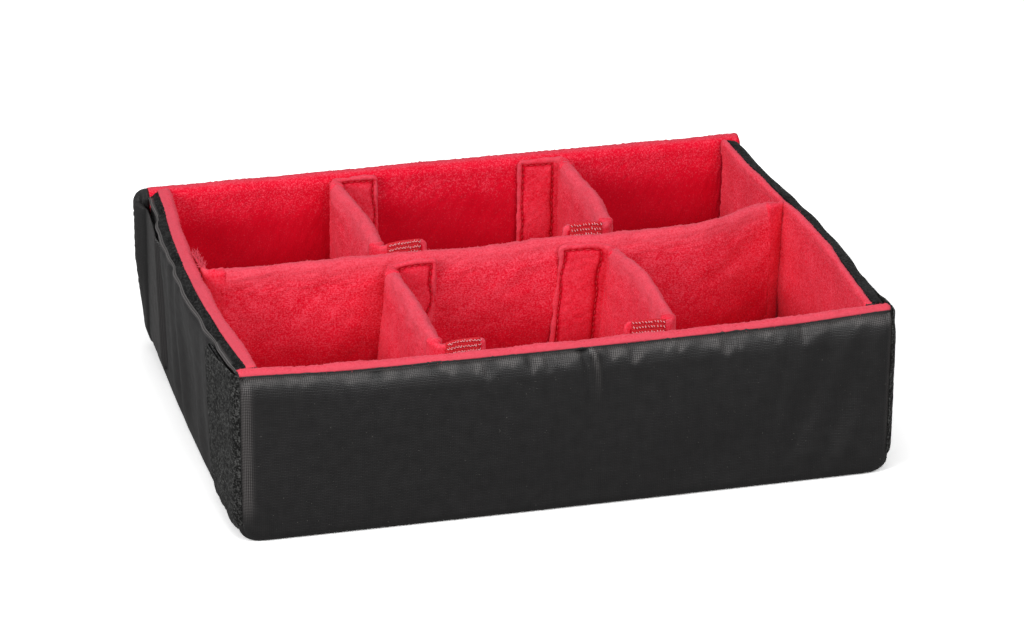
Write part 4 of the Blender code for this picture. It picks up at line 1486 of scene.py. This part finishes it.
def tape_heights(low, high, way):
    """Foot and top of a corner's tape, which is dressed shorter at the back to stay under its flap."""
    return (low.z, high.z) if way > 0 else (low.z + 3.5 * MM, high.z - 4.5 * MM)


def make_loop_tape(flap):
    """The napped strip on the side wall that a flap's hooks grip."""
    low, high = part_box(f"{flap.corner}_loop_tape")
    slab = Slab(places(low.y, high.y, 1.8 * MM), np.array([low.x, high.x]),
                places(*tape_heights(low, high, flap.way), 1.8 * MM), 0.25 * MM)
    points, facing = slab.at[:, [1, 0, 2]], slab.facing[:, [1, 0, 2]]
    fuzz = 0.12 * MM * waves(points, 1.7 * MM, flap.wall.seed + 70)
    points = points + facing * np.where(facing[:, 0] * flap.side > 0.3, fuzz, 0)[:, None]
    tape = make_piece(f"{flap.corner}_loop_strip", flap.wall.push(points), slab.quads[:, ::-1],
                      LOOKS["black_loop_tape"])
    dress(tape, flap.wall.name, "black_loop_tape", f"{flap.corner}_loop_tape")


def make_flaps(walls):
    for corner, side, way in (("front_left", -1, 1), ("front_right", 1, 1), ("back_left", -1, -1),
                              ("back_right", 1, -1)):
        end_name, side_name = corner.split("_")
        make_flap(Flap(corner, side, way, walls[f"{end_name}_wall"], walls[f"{side_name}_wall"]))


# Foot strips: the nylon that joins each wall to the base, under the wall

def make_foot_strips(walls):
    base_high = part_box("base_cover")[1]
    for wall in walls.values():
        outward = Vector((-wall.heading.y, wall.heading.x))
        base_edge = abs(Vector((base_high.x, base_high.y)).dot(outward))
        half = wall.long / 2 - 8 * MM
        slab = Slab(places(-half, half, 2.4 * MM),
                    places(base_edge - 2.5 * MM, wall.reach - 4.0 * MM, 1.2 * MM),
                    np.array([0.05 * MM, 0.45 * MM, 0.85 * MM]), 0.35 * MM)
        s, v, z = slab.at.T
        flat = np.column_stack([s, v])
        height = 0.05 * MM * waves(flat, 9 * MM, wall.seed + 80)
        points = straight((0, 0), wall.heading)(s, v, z + height * below(z, 0.85, 1))
        strip = make_piece(f"{wall.name}_foot_strip", points, slab.quads, LOOKS["nylon"], weave=flat)
        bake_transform(strip)


# Stage, lights and camera

def make_stage():
    """A floor that only the camera sees as white, and an even light from all round."""
    bpy.ops.mesh.primitive_plane_add(size=8, location=(0, 0, -0.0002))
    floor = bpy.context.object
    floor.name = "floor"
    look = Look("floor", (0.25, 0.25, 0.25), 0.9, Specular_IOR_Level=0.1)
    seen = look.add("ShaderNodeLightPath", {}).outputs["Is Camera Ray"]
    look.paint(look.blend(seen, (0.25, 0.25, 0.25), (1.6, 1.6, 1.6)))
    floor.data.materials.append(look.material)

    world = bpy.data.worlds.new("studio")
    bpy.context.scene.world = world
    world.use_nodes = True
    tree = world.node_tree
    back = tree.nodes["Background"]
    back.inputs["Color"].default_value = (1, 1, 1, 1)
    path = tree.nodes.new("ShaderNodeLightPath")
    strength = tree.nodes.new("ShaderNodeMapRange")
    strength.inputs["To Min"].default_value = WORLD_LIGHT
    strength.inputs["To Max"].default_value = 1.0
    tree.links.new(path.outputs["Is Camera Ray"], strength.inputs["Value"])
    tree.links.new(strength.outputs["Result"], back.inputs["Strength"])


def make_lamp(name, place, size, power, target=(0, 0, 0.05)):
    lamp = bpy.data.lights.new(name, "AREA")
    lamp.shape = "RECTANGLE"
    lamp.size, lamp.size_y = size
    lamp.energy = power
    thing = bpy.data.objects.new(name, lamp)
    bpy.context.scene.collection.objects.link(thing)
    thing.location = place
    thing.rotation_euler = (Vector(target) - Vector(place)).to_track_quat("-Z", "Y").to_euler()


def make_lights():
    make_lamp("left_softbox", (-1.85, -0.85, 1.25), (1.0, 0.9), 31)
    make_lamp("front_softbox", (0.4, -1.9, 1.45), (1.2, 1.2), 24)
    make_lamp("top_softbox", (-0.1, -0.3, 2.1), (0.7, 0.7), 6)


def make_camera():
    """Looks down on the insert from the front, a little from the left."""
    flat = math.cos(ELEVATION)
    back = Vector((math.sin(AZIMUTH) * flat, -math.cos(AZIMUTH) * flat, math.sin(ELEVATION)))
    right = Vector((0, 0, 1)).cross(back).normalized()
    up = back.cross(right)
    right, up = (math.cos(ROLL) * right + math.sin(ROLL) * up, math.cos(ROLL) * up - math.sin(ROLL) * right)
    camera = bpy.data.objects.new("camera", bpy.data.cameras.new("camera"))
    bpy.context.scene.collection.objects.link(camera)
    camera.data.sensor_width = 36
    camera.data.lens = LENS_MM
    camera.data.clip_end = 20
    place = Vector(TARGET) + back * DISTANCE
    turned = Matrix((right, up, back)).transposed().to_4x4()
    camera.matrix_world = Matrix.Translation(place) @ turned
    bpy.context.scene.camera = camera


bpy.context.scene.view_settings.view_transform = "Standard"
make_stage()
make_lights()
make_camera()
WALLS = make_walls()
make_base()
make_dividers(WALLS)
make_flaps(WALLS)
make_foot_strips(WALLS)
